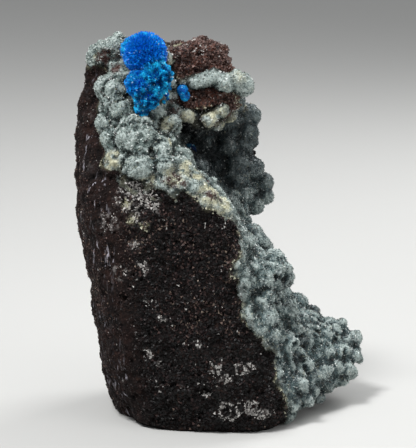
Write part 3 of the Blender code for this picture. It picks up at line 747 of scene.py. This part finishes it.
# broad lobes at the lower right that stand out towards the viewer: across, up, radius, share
broadLobes = (
    (11.6, -19.6, 4.4, 1.0), (15.8, -21.8, 3.2, 1.0), (9.2, -13.6, 3.2, 1.0), (12.4, -8.6, 2.8, 0.8),
    (15.2, -9.4, 2.0, 1.0), (13.4, -25.4, 2.2, 0.7),
)
# finely granular places with no lumps of their own: across, up, radius, share
evenPlaces = broadLobes + (
    (17.4, -30.4, 3.6, 1.0), (24.6, -27.4, 4.6, 0.7), (25.4, -33.6, 4.4, 0.7), (17.0, -35.6, 3.4, 1.0),
    (16.2, -40.0, 2.4, 1.0), (19.4, -14.8, 4.0, 1.0), (22.8, -18.4, 3.2, 1.0), (13.6, -30.0, 2.6, 1.0),
    (8.0, -6.0, 4.0, 0.8), (10.0, -1.0, 4.0, 0.8),
)
# small growths on the bare stone just outside the rim: across, up, radius
rimGrowths = (
    (-18.9, 9.4, 0.9), (-18.2, 8.2, 0.7), (-17.0, 7.4, 0.8), (-15.6, 6.6, 0.7), (-13.4, 6.4, 0.9),
    (-12.0, 5.2, 0.8), (-9.8, 4.9, 0.9), (-8.2, 5.0, 1.0), (-6.6, 5.2, 0.9), (-4.6, 6.6, 1.0),
    (-2.8, 6.0, 1.1), (-0.6, 4.6, 0.9), (2.0, 2.4, 0.9), (3.6, 1.2, 0.8), (5.4, -0.6, 0.8),
    (6.0, -3.4, 0.7), (5.2, -6.8, 0.7), (5.8, -12.6, 0.8), (6.4, -15.4, 0.8), (8.0, -19.6, 0.7),
    (12.4, -26.0, 0.7), (14.4, -32.6, 0.7), (-22.6, 18.0, 0.8), (-22.4, 21.6, 0.7), (-21.8, 25.0, 0.8),
    (-21.6, 28.6, 0.9), (-22.4, 31.4, 0.8),
)
# grooves between the large forms: across, up, radius, strength
crevices = (
    (14.5, -16.7, 0.9, 1.0), (16.2, -16.4, 0.9, 1.0), (17.9, -17.1, 1.0, 1.0), (19.6, -19.2, 1.1, 1.0),
    (20.3, -21.4, 1.1, 1.0), (20.0, -23.6, 1.1, 1.0), (18.9, -25.8, 1.0, 1.0), (20.0, -28.6, 1.1, 1.0),
    (20.6, -31.0, 1.1, 1.0), (20.7, -33.6, 1.1, 1.0), (20.3, -36.4, 1.1, 0.9), (14.2, -11.6, 1.0, 0.9),
    (16.0, -12.4, 1.2, 1.0), (17.9, -11.4, 1.0, 0.9), (-8.0, 8.6, 1.3, 1.0), (-6.6, 9.6, 0.8, 0.8),
    (-0.6, 9.8, 0.9, 1.0), (-1.8, 10.8, 0.8, 0.9), (0.7, 8.3, 0.7, 0.8), (-2.6, 8.9, 0.7, 0.8),
)
# large lumps with a groove all round: across, up, half width, half height
ringedLumps = (
    (-15.3, 18.4, 4.9, 3.5), (-14.7, 12.3, 3.7, 3.1), (-9.6, 15.8, 2.5, 2.3), (-8.3, 21.3, 2.0, 2.0),
    (-19.2, 23.8, 2.7, 2.9), (-19.8, 28.8, 2.9, 2.6), (-5.6, 19.4, 2.5, 2.4), (16.4, -9.4, 2.0, 2.0),
    (25.4, -23.4, 2.2, 2.1), (31.2, -28.0, 2.2, 2.2),
)
ringMarks = 3.125  # marks of such a groove for each millimetre of half width and half height
ringGroove = (0.65, 0.75)  # their radius and strength
for across, up, halfWidth, halfHeight in ringedLumps:
    count = int(ringMarks * (halfWidth + halfHeight))
    for turn in np.arange(count) * 2.0 * math.pi / count:
        spot = (across + halfWidth * math.cos(turn), up + halfHeight * math.sin(turn))
        crevices += (spot + ringGroove,)
# clearer, darker druse, partly painted shade in the grooves and on the back slopes: across, up, radius,
# strength
clearAndShadedPlaces = crevices + (
    (19.4, -14.4, 4.2, 0.95), (22.8, -18.0, 3.2, 0.85), (16.6, -13.4, 1.8, 0.9), (18.6, -28.6, 1.8, 0.8),
    (19.6, -37.0, 2.8, 0.8), (23.0, -37.6, 2.4, 0.7), (26.2, -36.6, 2.0, 0.5), (20.4, -24.6, 1.8, 0.8),
    (18.8, -33.0, 1.4, 0.6), (22.0, -35.6, 2.4, 0.4), (-11.6, 22.4, 1.6, 0.5), (-1.0, 10.0, 2.2, 0.7),
)
# more thickly frosted crests, also painted lighter as highlight: across, up, radius, strength
frostedAndLitPlaces = (
    (-3.0, 30.2, 2.0, 1.0), (0.4, 30.8, 2.4, 1.0), (3.8, 30.2, 2.4, 1.0), (7.4, 29.8, 2.4, 1.0),
    (-23.4, 37.6, 2.0, 1.0), (-21.0, 39.0, 1.4, 1.0), (-5.6, 19.4, 2.2, 0.8), (12.0, -20.4, 3.0, 0.6),
)
# painted shade deep inside the pocket: across, up, radius, strength
pocketShadePlaces = (
    (-4.2, 16.4, 2.4, 0.66), (-1.6, 16.4, 3.4, 0.68), (1.0, 14.6, 3.2, 0.68), (2.6, 11.6, 2.8, 0.64),
    (4.6, 8.6, 2.4, 0.6), (-1.4, 18.6, 2.2, 0.6),
)
# two crystals that flash: across, up, radius, strength
sparkPlaces = ((4.9, 17.5, 0.6, 1.0), (-8.8, 24.0, 0.5, 0.9))
# cream to yellow-green places on the druse: across, up, radius, strength
creamPatches = (
    (-20.5, 13.5, 2.6, 1.0), (-3.4, 11.1, 3.4, 0.9), (0.4, 6.4, 3.4, 0.9), (3.0, 4.3, 2.6, 0.8),
    (-7.0, 10.2, 3.0, 0.6), (-0.2, 23.7, 5.0, 0.9), (-3.8, 22.2, 3.0, 0.8), (3.8, 22.6, 3.4, 0.8),
    (-6.4, 38.2, 1.8, 1.0), (-8.7, 21.4, 2.0, 0.6), (-7.6, 17.7, 1.4, 0.6), (-10.0, 7.4, 3.0, 0.7),
    (-13.0, 8.8, 2.4, 0.6), (6.8, 31.4, 2.0, 0.4),
)
# red-brown stone that shows through
stainPatches = (
    (-7.4, 9.6, 2.0, 0.9), (-5.8, 8.6, 1.6, 0.8), (0.6, 6.2, 1.5, 0.9), (-6.8, 23.9, 1.7, 0.9),
    (2.2, 5.6, 1.2, 0.7), (-7.6, 26.6, 1.3, 0.7), (2.4, 21.4, 2.0, 0.6), (-1.6, 22.6, 0.9, 0.6),
    (27.4, -36.2, 2.2, 0.5), (-19.9, 33.6, 2.0, 1.0), (-22.2, 35.6, 2.4, 1.0), (-23.4, 33.6, 1.8, 1.0),
    (-20.4, 36.2, 1.8, 0.9), (-21.0, 38.4, 0.9, 0.5), (-7.2, 14.6, 0.9, 0.6), (-9.6, 9.4, 1.0, 0.7),
    (-12.0, 8.4, 0.8, 0.6), (4.6, 5.4, 1.0, 0.8), (7.2, 0.6, 1.4, 0.5), (-0.6, 9.4, 1.2, 0.9),
    (9.4, -2.2, 1.2, 0.4), (-6.6, 28.6, 1.2, 0.7),
)


def druseMaterial(name, roughness):
    # Crust of tiny zeolite crystals: a frosted grey-green skin, whiter on its crests, cream by the basalt
    material, tree = startMaterial(name)
    place = inMillimetres(tree)
    painted = paintedIn(tree, "rind", "crest", "cool", "spark", "stain", "shelterShade", "clear")
    cloud = cloudsAt(tree, place, 4.0, 4.0)
    warm = blended(tree, cloud, "#424f4f", "#6f807b")
    cold = blended(tree, cloud, "#2c3c40", "#50686a")
    body = blended(tree, painted["cool"], warm, cold)
    # the druse far back and in the grooves is darkened and loses its whiter crests: partly clearer druse
    # with the dark stone showing through, partly painted shade
    dim = product(tree, painted["clear"], 0.72)
    dimmed = blended(tree, dim, body, "#25313a")
    # painted shade darkens the hollows between the lumps; crests are whiter, partly frost and partly painted
    # highlight
    sunk = blended(tree, ranged(tree, painted["crest"], 0.5, 0.0, 0.0, 0.9), dimmed, "#161d1e")
    unclear = addNode(tree, "ShaderNodeMath", {0: 1.0, 1: dim}, operation="SUBTRACT").outputs[0]
    crestShare = product(tree, ranged(tree, painted["crest"], 0.5, 1.0, 0.0, 0.6), unclear)
    frostedAndLit = blended(tree, crestShare, sunk, "#c2cdc9")
    creams = blended(tree, cloud, "#9f9e7c", "#dddbc6")
    flecks = cloudsAt(tree, place, 1.4, 4.0)
    rindShare = product(tree, painted["rind"], ranged(tree, flecks, 0.36, 0.56))
    rinded = blended(tree, rindShare, frostedAndLit, creams)
    stainShare = product(tree, painted["stain"], ranged(tree, flecks, 0.6, 0.48))
    stained = blended(tree, stainShare, rinded, "#3f241d")
    # painted shade: where the stone hides much of the sky, and deep inside the pocket, the druse is painted
    # dark and less glossy
    pocketShadeShare = ranged(tree, painted["shelterShade"], 0.35, 0.7, 0.0, 0.94)
    pocketShaded = blended(tree, pocketShadeShare, stained, "#0a0d0e")
    # painted glints: crystals that catch the light, and two that flash
    sparked = blended(tree, painted["spark"], pocketShaded, "#eef1ee")
    finishMaterial(tree, {"Base Color": sparked, "Roughness": roughness, "IOR": 1.5,
                          "Specular IOR Level": ranged(tree, pocketShadeShare, 0.0, 1.0, 0.5, 0.1),
                          "Normal": bumped(tree, cloudsAt(tree, place, 0.4, 3.0), 0.5, 0.12)})
    return material


def openFaces(points, faces, rockNear=1.4):
    # the crust's faces that look out, not into the rock that it sits on
    a, b, c = (points[faces[:, i]] for i in range(3))
    cross = np.cross(b - a, c - a)
    length = np.linalg.norm(cross, axis=1)
    normals = cross / np.maximum(length, 1e-9)[:, None]
    return ~covered(rockTree, (a + b + c) / 3.0, normals, rockNear) & (length > 0.0)


print("stage: druse")
bareTree = searchOf(rockPoints[~underCrust])
rng = np.random.default_rng(druse["seed"])
ballShape = bmesh.new()
bmesh.ops.create_icosphere(ballShape, subdivisions=2, radius=1.0)
ball = templateOf(ballShape)
eyeWay = facedWay()


def ballsMesh(name, middles, radii):
    return copiesMesh(name, ball, middles, np.eye(3)[None] * radii[:, None, None])


def farBack(points):
    # 1 on the wall behind the pocket, whose lobes are large and smooth
    return (smoothStep(*druse["farDepth"], points[:, 1]) * smoothStep(*druse["farFoot"], points[:, 2])
            * smoothStep(*druse["farLeft"], points[:, 0]) * smoothStep(*druse["farTop"], points[:, 2]))


def evenAt(points):
    return patchesOn(crustTree, points, evenPlaces, druse["evenEdge"])


# the crust is thinned towards the stone, and lumps then stand on it with dark seams between them
thinMesh = remeshed(crustCad.copy(), druse["roughVoxel"])
thinPoints, thinNormals = pointsOf(thinMesh), normalsOf(thinMesh)
under = [rockTree.find_nearest(Vector(p)) for p in thinPoints]
inward = np.array([place[0] for place in under]) - thinPoints
depth = np.maximum(np.linalg.norm(inward, axis=1), 1e-6)
sink = np.clip(depth - druse["least"], 0.0, druse["thinned"])
swell = patchesOn(crustTree, thinPoints, broadLobes, druse["swellEdge"]) * druse["swell"]
facing = np.clip(-(thinNormals @ eyeWay) + druse["swellTurn"], 0.0, 1.0)
calm = 1.0 - druse["evenWaves"] * patchesOn(crustTree, thinPoints, evenPlaces)
waves = wavesAt(thinPoints, druse["waves"]) * calm + druse["raised"]
movePoints(thinMesh, thinPoints + inward * (sink / depth)[:, None] - eyeWay * (swell * facing)[:, None]
           + thinNormals * waves[:, None])

middles, radii = [], []
smallSunk, largeSunk = druse["lumpSunk"]
for spot, radius in placedOn(crustTree, standingLumps):
    middles.append(spot + eyeWay * (largeSunk if radius > druse["largeLump"] else smallSunk) * radius)
    radii.append(radius)
for spot, radius in placedOn(rockTree, rimGrowths):
    middles.append(spot + eyeWay * druse["growthSunk"] * radius)
    radii.append(radius)
standing = searchOf(middles)
seats, seatNormals = seatsOn(crustCad, druse["lumpSeats"], rng, openFaces)
chosen = spacedOut(seats, druse["lumpSpacing"])
owner, gap = nearestIn(standing, seats[chosen])
fewerFar, largerFar = druse["farLumps"]
farLuck = rng.random(len(chosen)) > fewerFar * farBack(seats[chosen])
chosen = chosen[(gap > np.array(radii)[owner] + druse["lumpGap"]) & (evenAt(seats[chosen]) < 0.5) & farLuck]
mixWidth, mixShare, mixPattern = druse["lumpMix"]
moreRadii = (rng.uniform(*druse["lumpRadius"], len(chosen)) * (1.0 + largerFar * farBack(seats[chosen]))
             * (1.0 + mixShare * noiseAt(seats[chosen], mixWidth, mixPattern)))
moreMiddles = seats[chosen] - seatNormals[chosen] * (largeSunk * moreRadii)[:, None]
lumps = ballsMesh("lumps", np.concatenate([middles, moreMiddles]), np.concatenate([radii, moreRadii]))
lumpy = remeshed(joinedMesh("lumpyCrust", thinMesh, lumps), druse["roughVoxel"])
beadSpots, beadNormals = seatsOn(lumpy, druse["beads"], rng, openFaces)
even = np.maximum(evenAt(beadSpots), farBack(beadSpots))
few = rng.random(len(beadSpots)) > druse["evenBeads"] * even
beadSpots, beadNormals = beadSpots[few], beadNormals[few]
beadSize = rng.uniform(*druse["beadRadius"], len(beadSpots))
beadSpots = beadSpots - beadNormals * (druse["beadSunk"] * beadSize)[:, None]
byTheRim = ~underCrust & (crustNear < druse["rimReach"]) & (rockPoints[:, 2] > druse["rimFoot"])
rimSpots = rockPoints[byTheRim]
rimSpots = rimSpots[rng.choice(len(rimSpots), min(druse["rimBeads"], len(rimSpots)), replace=False)]
rimSize = rng.uniform(*druse["rimRadius"], len(rimSpots))
edgeSpots, edgeNormals = seatsOn(crustCad, druse["edgeTries"] * druse["edgeBeads"], rng, openFaces)
onEdge = nearestIn(bareTree, edgeSpots)[1] < druse["edgeReach"]
edgeSpots = (edgeSpots - edgeNormals * druse["edgeSunk"])[onEdge][:druse["edgeBeads"]]
edgeSpots = edgeSpots[edgeSpots[:, 2] > druse["edgeFoot"]]
edgeSize = rng.uniform(*druse["edgeRadius"], len(edgeSpots))
beads = ballsMesh("beads", np.concatenate([beadSpots, rimSpots, edgeSpots]),
                  np.concatenate([beadSize, rimSize, edgeSize]))
crustMesh = remeshed(joinedMesh("beadedCrust", lumpy, beads), druse["voxel"])
crustPoints, crustNormals = pointsOf(crustMesh), normalsOf(crustMesh)
twisted = wavesAt(crustPoints, [druse["twist"]])
crustMove = (wavesAt(crustPoints, [druse["grain"]])
             + twisted * (1.0 - druse["evenTwist"] * patchesOn(crustTree, crustPoints, evenPlaces))
             - patchesOn(crustTree, crustPoints, crevices) * druse["crevice"])
crustPoints = crustPoints + crustNormals * crustMove[:, None]
crustPoints[:, 2] = np.maximum(crustPoints[:, 2], druse["foot"])
movePoints(crustMesh, crustPoints)
print("  crust triangles", len(trianglesOf(crustMesh)), "lumps", len(radii) + len(chosen))


def shelterOf(mesh, others, rng):
    # share of the sky that the stone itself hides, measured at the CAD crust's corners; it is painted on the
    # druse as shade
    spots, ways = pointsOf(mesh), normalsOf(mesh)
    share = np.zeros(len(spots))
    for number, (spot, way) in enumerate(zip(spots, ways)):
        rays = unit(rng.normal(size=(druse["shelterRays"], 3)))
        rays = rays * np.sign(rays @ way)[:, None]
        start = Vector(spot + way * druse["shelterStart"])
        hits = [any(tree.ray_cast(start, Vector(ray), druse["shelterReach"])[0] is not None
                    for tree in others) for ray in rays]
        share[number] = np.mean(hits)
    return share


cadSearch = searchOf(pointsOf(crustCad))
cadShelter = shelterOf(crustCad, (rockTree, crustTree), rng)


def druseTones(points):
    # how much of each tone every place has
    rindNear, rindFar, rindStrength = druse["rindEdge"]
    near = nearestIn(bareTree, points)[1] + wavesAt(points, [druse["rindWander"]])
    edge = rindStrength * (1.0 - smoothStep(rindNear, rindFar, near))
    rind = np.maximum(edge, patchesOn(crustTree, points, creamPatches))
    stain = patchesOn(crustTree, points, stainPatches)
    coolFrom, coolTo, coolLow = druse["coolHeight"]
    sideFrom, sideTo, coolRight = druse["coolSide"]
    cool = (smoothStep(coolFrom, coolTo, points[:, 2]) * coolLow
            + coolRight * smoothStep(sideFrom, sideTo, points[:, 0]))
    cool = np.clip(cool + wavesAt(points, [druse["coolClouds"]]), 0.0, 1.0)
    found = np.array([[cadShelter[n] for _, n, _ in cadSearch.find_n(Vector(p), druse["shelterCorners"])]
                      for p in points])
    # partly clearer druse and partly painted shade, far back and in the grooves
    clear = np.maximum(farBack(points), patchesOn(crustTree, points, clearAndShadedPlaces))
    deep = patchesOn(crustTree, points, pocketShadePlaces) * (points[:, 1] > druse["pocketShadeFrom"])
    # painted shade: from the hidden sky, and deep inside the pocket
    shelterShade = np.maximum(found.mean(axis=1), deep)
    return {"rind": rind, "stain": stain, "cool": cool, "shelterShade": shelterShade, "clear": clear}


# the crests' painted highlight and the hollows' painted shade, from how far each place stands out
level, smallCrests, largeCrests, frostedAndLit = druse["crest"]
smallOut, largeOut = (curvature(crustMesh, rounds) for rounds in druse["crestRounds"])
crest = (level + smallOut * smallCrests + largeOut * largeCrests
         + frostedAndLit * patchesOn(crustTree, crustPoints, frostedAndLitPlaces))
tones = {**druseTones(crustPoints), "crest": np.clip(crest, 0.0, 1.0)}
for part, values in {**tones, "spark": np.zeros(len(crest))}.items():
    paint(crustMesh, part, values)
crust = newPiece("druseCrust", crustMesh, druseMaterial("frosted zeolite crust", 0.55))
showPiece(crust, "druse_crust")

print("stage: micro crystals")
spots, outward = seatsOn(crustMesh, crystals["count"], rng, openFaces)
standing = spots[:, 2] > crystals["foot"]
spots, outward = spots[standing], outward[standing]
lean = unit(outward + rng.normal(scale=crystals["lean"], size=outward.shape))
sideA, sideB = frameAround(lean, rng)
width = rng.uniform(*crystals["size"], len(spots))
tall = width * rng.uniform(*crystals["stretch"], len(spots))
axes = np.stack([sideA * width[:, None], sideB * width[:, None], lean * tall[:, None]], axis=1)
nearest = nearestIn(searchOf(crustPoints), spots)[0]
spark = (rng.random(len(spots)) < crystals["sparkShare"]) * rng.uniform(*crystals["spark"], len(spots))
spark = np.maximum(spark, patchesOn(crustTree, spots, sparkPlaces))
crystalMaterial = druseMaterial("zeolite micro crystals", 0.28)
bounds = (-math.inf, *crystals["bands"], math.inf)
rindSpread, rindNone, rindAll = crystals["rindSpread"]
stainSpread, stainNone, stainAll = crystals["stainSpread"]
for number, (bottom, top) in enumerate(zip(bounds, bounds[1:])):
    mine = (spots[:, 2] >= bottom) & (spots[:, 2] < top)
    mesh = copiesMesh("crystals", threeSided, spots[mine], axes[mine])
    own = {part: values[nearest][mine] for part, values in tones.items()}
    count = len(own["crest"])
    own["crest"] = np.clip(own["crest"] + rng.normal(scale=crystals["crestSpread"], size=count), 0.0, 1.0)
    own["rind"] = smoothStep(rindNone, rindAll, own["rind"] + rng.normal(scale=rindSpread, size=count))
    own["stain"] = smoothStep(stainNone, stainAll, own["stain"] + rng.normal(scale=stainSpread, size=count))
    own["spark"] = spark[mine] * (1.0 - crystals["clearSpark"] * own["clear"])
    for part, values in own.items():
        paint(mesh, part, np.repeat(values, len(threeSided[0])))
    piece = newPiece(f"druseCrystals{number}", mesh, crystalMaterial)
    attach(piece, "root")
    print("  crystals", number, len(mesh.polygons))


rosettes = {  # middle, radius, blades, and how much of the lighter azure it has
    "upper": ((-15.95, -9.25, 77.3), 4.95, 5000, 0.1),
    "upperLeft": ((-18.2, -8.8, 78.0), 3.3, 900, 0.25),
    "lowerRight": ((-13.6, -12.4, 72.8), 3.7, 2000, 0.85),
    "lowerLeft": ((-16.9, -12.2, 71.4), 3.5, 1600, 0.35),
    "lowerMiddle": ((-15.5, -12.7, 68.9), 3.2, 1500, 0.85),
    "fringe": ((-16.5, -12.6, 66.3), 1.9, 700, 0.8),
    "small": ((-8.3, -7.6, 69.5), 1.3, 420, 0.4),
    "smallLower": ((-7.7, -7.5, 68.3), 1.15, 360, 0.6),
    "pocket": ((-7.124, 2.953, 55.0), 1.95, 800, 0.2),
}
chipBlades = (60, 1.0)  # blades of a loose chip, and how azure they are
# loose chips of blades on the druse beside the cluster: across, up, radius
looseChips = ((-8.9, 27.7, 0.7), (-9.4, 26.0, 0.55), (-8.2, 28.9, 0.5), (-8.6, 26.7, 0.45))
blade = {
    "width": (0.1, 0.21),  # half width
    "flat": 0.5,  # thickness as a share of the width
    "start": 0.55,  # where a blade starts, as a share of the rosette's radius
    "end": (0.88, 1.02),
    "lump": (1.5, 0.07),  # the ball's own unevenness: size, share of the radius
    "crumble": (1.0, 0.2),  # and how much rougher the azure ones are
    "crumblePattern": 40.0,
    "proudLump": 0.5,  # how much the ball's own unevenness counts among the rough
    "scatter": 0.02,
    "lean": 0.12,
    "cyanAlong": (0.35, 0.9),  # the light edges begin at this share of the length and are full at this
    "tip": 0.85,  # faces that reach above this share are the pointed end
    "cyanTip": 0.25,  # which is less light
    "tintSpread": 0.16,
    "crestGlow": (0.35, 0.65),  # painted glow of the bright rims: least, and more by chance
    "glowProud": (0.05, 0.45),  # painted glow: azure blades glow where they stand out this far
    "glow": (0.3, 1.0),
    "sunkProud": (0.1, -0.25),  # and get painted shade where they are as low as this
    "sparkShare": 0.015,
    "spark": (0.5, 1.0),
    "heart": 0.7,  # radius of the solid heart, as a share
    "seed": 21,
}


def cavansiteMaterial(name, deep, mid, tip):
    # Cavansite: glassy to pearly blades, deep blue looking down on them and cyan through their edges, with a
    # painted glow, painted shade and painted glints
    material, tree = startMaterial(name)
    painted = paintedIn(tree, "side", "along", "tint", "glow", "sunk", "spark")
    body = blended(tree, painted["tint"], deep, mid)
    edged = blended(tree, product(tree, painted["side"], painted["along"]), body, tip)
    shaded = blended(tree, painted["sunk"], edged, "#002f56")
    lit = blended(tree, painted["glow"], shaded, "#30d8fc")
    sparked = blended(tree, painted["spark"], lit, "#d9f5fb")
    finishMaterial(tree, {"Base Color": sparked, "Roughness": 0.35, "IOR": 1.54, "Specular IOR Level": 0.2})
    return material


bladeShape = bmesh.new()  # an upright blade of length 1 with a pointed end
bmesh.ops.create_cone(bladeShape, cap_ends=True, segments=4, radius1=0.7, radius2=1.0, depth=0.8)
bmesh.ops.translate(bladeShape, verts=bladeShape.verts, vec=(0.0, 0.0, 0.4))
topFace = max(bladeShape.faces, key=lambda f: f.calc_center_median().z)
poked = bmesh.ops.poke(bladeShape, faces=[topFace])
bmesh.ops.translate(bladeShape, verts=poked["verts"], vec=(0.0, 0.0, 0.1))
bladeTemplate = templateOf(bladeShape)


def growBlades(rosette, rng):
    # blades that radiate from the middle, evenly spread by the golden angle
    middle, radius, count, azure = rosette
    turn = np.arange(count) * math.pi * (3.0 - math.sqrt(5.0))
    rise = 1.0 - 2.0 * (np.arange(count) + 0.5) / count
    flat = np.sqrt(1.0 - rise * rise)
    out = np.stack([flat * np.cos(turn), flat * np.sin(turn), rise], axis=1)
    out = unit(out + rng.normal(scale=blade["scatter"], size=out.shape))
    lean = unit(out + rng.normal(scale=blade["lean"], size=out.shape))
    sideA, sideB = frameAround(lean, rng)
    width = rng.uniform(*blade["width"], count)
    onBall = np.array(middle) + out * radius
    lumpy = noiseAt(onBall, blade["lump"][0])
    proud = noiseAt(onBall, blade["crumble"][0], blade["crumblePattern"]) + blade["proudLump"] * lumpy
    uneven = 1.0 + blade["lump"][1] * lumpy + blade["crumble"][1] * azure * proud
    end = rng.uniform(*blade["end"], count) * radius * uneven
    length = end - blade["start"] * radius
    places = np.array(middle) + out * end[:, None] - lean * length[:, None]
    axes = np.stack([sideA * width[:, None], sideB * (width * blade["flat"])[:, None],
                     lean * length[:, None]], axis=1)
    return places, axes, np.full(count, azure), proud


# painted highlight: a bright glowing rim along the top of the lower fan: across, up, radius, strength
glowRimPatches = (
    (-16.2, 31.0, 1.1, 0.8), (-15.0, 31.2, 1.0, 0.9), (-13.8, 32.0, 1.0, 1.0), (-12.4, 32.9, 1.1, 1.0),
    (-11.0, 34.0, 1.2, 1.0), (-9.6, 34.8, 1.2, 1.0), (-11.5, 35.4, 0.9, 1.0), (-14.3, 34.6, 0.8, 1.0),
    (-8.3, 34.3, 1.1, 1.0), (-7.6, 33.0, 0.8, 0.8), (-13.2, 33.6, 0.9, 1.0), (-16.4, 31.6, 0.8, 1.0),
    (-18.4, 37.6, 1.1, 1.0), (-17.4, 39.0, 1.0, 1.0), (-15.6, 40.2, 1.0, 1.0), (-13.6, 40.7, 1.0, 1.0),
    (-11.5, 40.3, 1.0, 0.9), (-18.6, 35.8, 1.0, 0.8), (-9.8, 38.8, 0.9, 0.7), (-17.6, 34.2, 0.8, 0.6),
    (-9.6, 26.0, 1.1, 0.9), (-8.8, 27.8, 1.1, 1.0), (-17.3, 28.0, 0.8, 0.5), (-14.0, 24.6, 1.0, 0.5),
)


def rosettePiece(name, node, grownAt, material):
    rng = np.random.default_rng(blade["seed"])
    grown = [growBlades(rosette, rng) for rosette in grownAt]
    places, axes, azure, proud = (np.concatenate(parts) for parts in zip(*grown))
    mesh = copiesMesh(name, bladeTemplate, places, axes)
    corners, faces = bladeTemplate
    paint(mesh, "along", np.tile(smoothStep(*blade["cyanAlong"], corners[:, 2]), len(places)))
    tips = corners[faces][:, :, 2].max(axis=1) > blade["tip"]
    sides = mesh.attributes.new("side", "FLOAT", "FACE")
    cyan = np.tile(np.where(tips, blade["cyanTip"], 1.0), len(places))
    sides.data.foreach_set("value", cyan.astype(np.float32))
    ends = places + axes[:, 2]
    crests = patchesOn(treeOf(mesh), ends, glowRimPatches)
    tint = np.clip(azure + rng.normal(scale=blade["tintSpread"], size=len(places)), 0.0, 1.0)
    # painted light: a glow on the bright rims and the proud azure blades, and painted shade on the low ones
    leastGlow, moreGlow = blade["crestGlow"]
    rimGlow = crests * (leastGlow + moreGlow * rng.random(len(places)) ** 2)
    fanGlow = azure * smoothStep(*blade["glowProud"], proud) * rng.uniform(*blade["glow"], len(places))
    glow = np.maximum(rimGlow, fanGlow)
    sunk = azure * smoothStep(*blade["sunkProud"], proud)
    # painted glints on a few blades
    spark = (rng.random(len(places)) < blade["sparkShare"]) * rng.uniform(*blade["spark"], len(places))
    for part, values in (("tint", tint), ("glow", glow), ("sunk", sunk), ("spark", spark)):
        paint(mesh, part, np.repeat(values, len(corners)))
    # a solid heart below the blades, so that no gap shows through
    shape = bmesh.new()
    shape.from_mesh(mesh)
    for middle, radius, _, _ in grownAt:
        heart = bmesh.ops.create_icosphere(shape, subdivisions=3, radius=blade["heart"] * radius * mm)
        bmesh.ops.translate(shape, verts=heart["verts"], vec=Vector(middle) * mm)
    shape.to_mesh(mesh)
    shape.free()
    piece = newPiece(name, mesh, material)
    showPiece(piece, node)
    print("  faces of", name, len(mesh.polygons))


print("stage: cavansite")
cobalt = cavansiteMaterial("cavansite blades", "#0047da", "#004c88", "#10a4e4")
# a darker copy of the same blades: painted shade for the rosette deep in the pocket
cobaltInShade = cavansiteMaterial("cavansite blades in shade", "#020a26", "#04163e", "#082a60")
crustNow = treeOf(crustMesh)
chips = [(spot, radius, *chipBlades) for spot, radius in placedOn(crustNow, looseChips)]
twin = [rosette for key, rosette in rosettes.items() if key not in ("small", "smallLower", "pocket")]
rosettePiece("cavansiteCluster", "cavansite_cluster", twin + chips, cobalt)
rosettePiece("cavansiteSmall", "cavansite_small", [rosettes["small"], rosettes["smallLower"]], cobalt)
rosettePiece("cavansitePocket", "cavansite_pocket", [rosettes["pocket"]], cobaltInShade)


studio = {
    "floorSize": 4000.0,
    "floorColour": "#bfbfbd",
    "floorRoughness": 0.9,
    "worldColour": "#e8ebee",
    "worldStrength": 0.24,
    # name, place, size, watts
    "lights": (
        ("keyLight", (-200.0, -240.0, 560.0), 150.0, 3.9),
        ("fillLight", (480.0, -420.0, 300.0), 420.0, 1.0),
        ("rimLight", (260.0, 300.0, 420.0), 260.0, 1.8),
        ("overheadLight", (0.0, 0.0, 1900.0), 3600.0, 20.0),
    ),
}


def buildStudio():
    floorShape = bmesh.new()
    bmesh.ops.create_grid(floorShape, x_segments=1, y_segments=1, size=0.5 * studio["floorSize"] * mm)
    floorMesh = bpy.data.meshes.new("floor")
    floorShape.to_mesh(floorMesh)
    floorShape.free()
    material = bpy.data.materials.new("matt studio paper")  # even, with no gloss of its own
    material.use_nodes = True
    shader = material.node_tree.nodes["Principled BSDF"]
    shader.inputs["Base Color"].default_value = linearColour(studio["floorColour"])
    shader.inputs["Roughness"].default_value = studio["floorRoughness"]
    newPiece("floor", floorMesh, material)
    world = bpy.data.worlds.new("studio")
    bpy.context.scene.world = world
    world.use_nodes = True
    background = world.node_tree.nodes["Background"]
    background.inputs["Color"].default_value = linearColour(studio["worldColour"])
    background.inputs["Strength"].default_value = studio["worldStrength"]
    middle = Vector(view["target"]) * mm
    for name, place, size, watts in studio["lights"]:
        data = bpy.data.lights.new(name, "AREA")
        data.energy, data.size = watts, size * mm
        light = bpy.data.objects.new(name, data)
        light.location = Vector(place) * mm
        light.rotation_euler = (middle - light.location).to_track_quat("-Z", "Y").to_euler()
        bpy.context.scene.collection.objects.link(light)
    tilt = math.radians(view["lookDown"])
    data = bpy.data.cameras.new("camera")
    data.lens, data.sensor_width = view["lens"], view["sensor"]
    data.clip_start, data.clip_end = (edge * mm for edge in view["clip"])
    camera = bpy.data.objects.new("camera", data)
    camera.location = middle + view["distance"] * mm * Vector((0.0, -math.cos(tilt), math.sin(tilt)))
    camera.rotation_euler = (middle - camera.location).to_track_quat("-Z", "Y").to_euler()
    bpy.context.scene.collection.objects.link(camera)
    bpy.context.scene.camera = camera
    bpy.context.scene.view_settings.view_transform = "Standard"


print("stage: studio")
buildStudio()
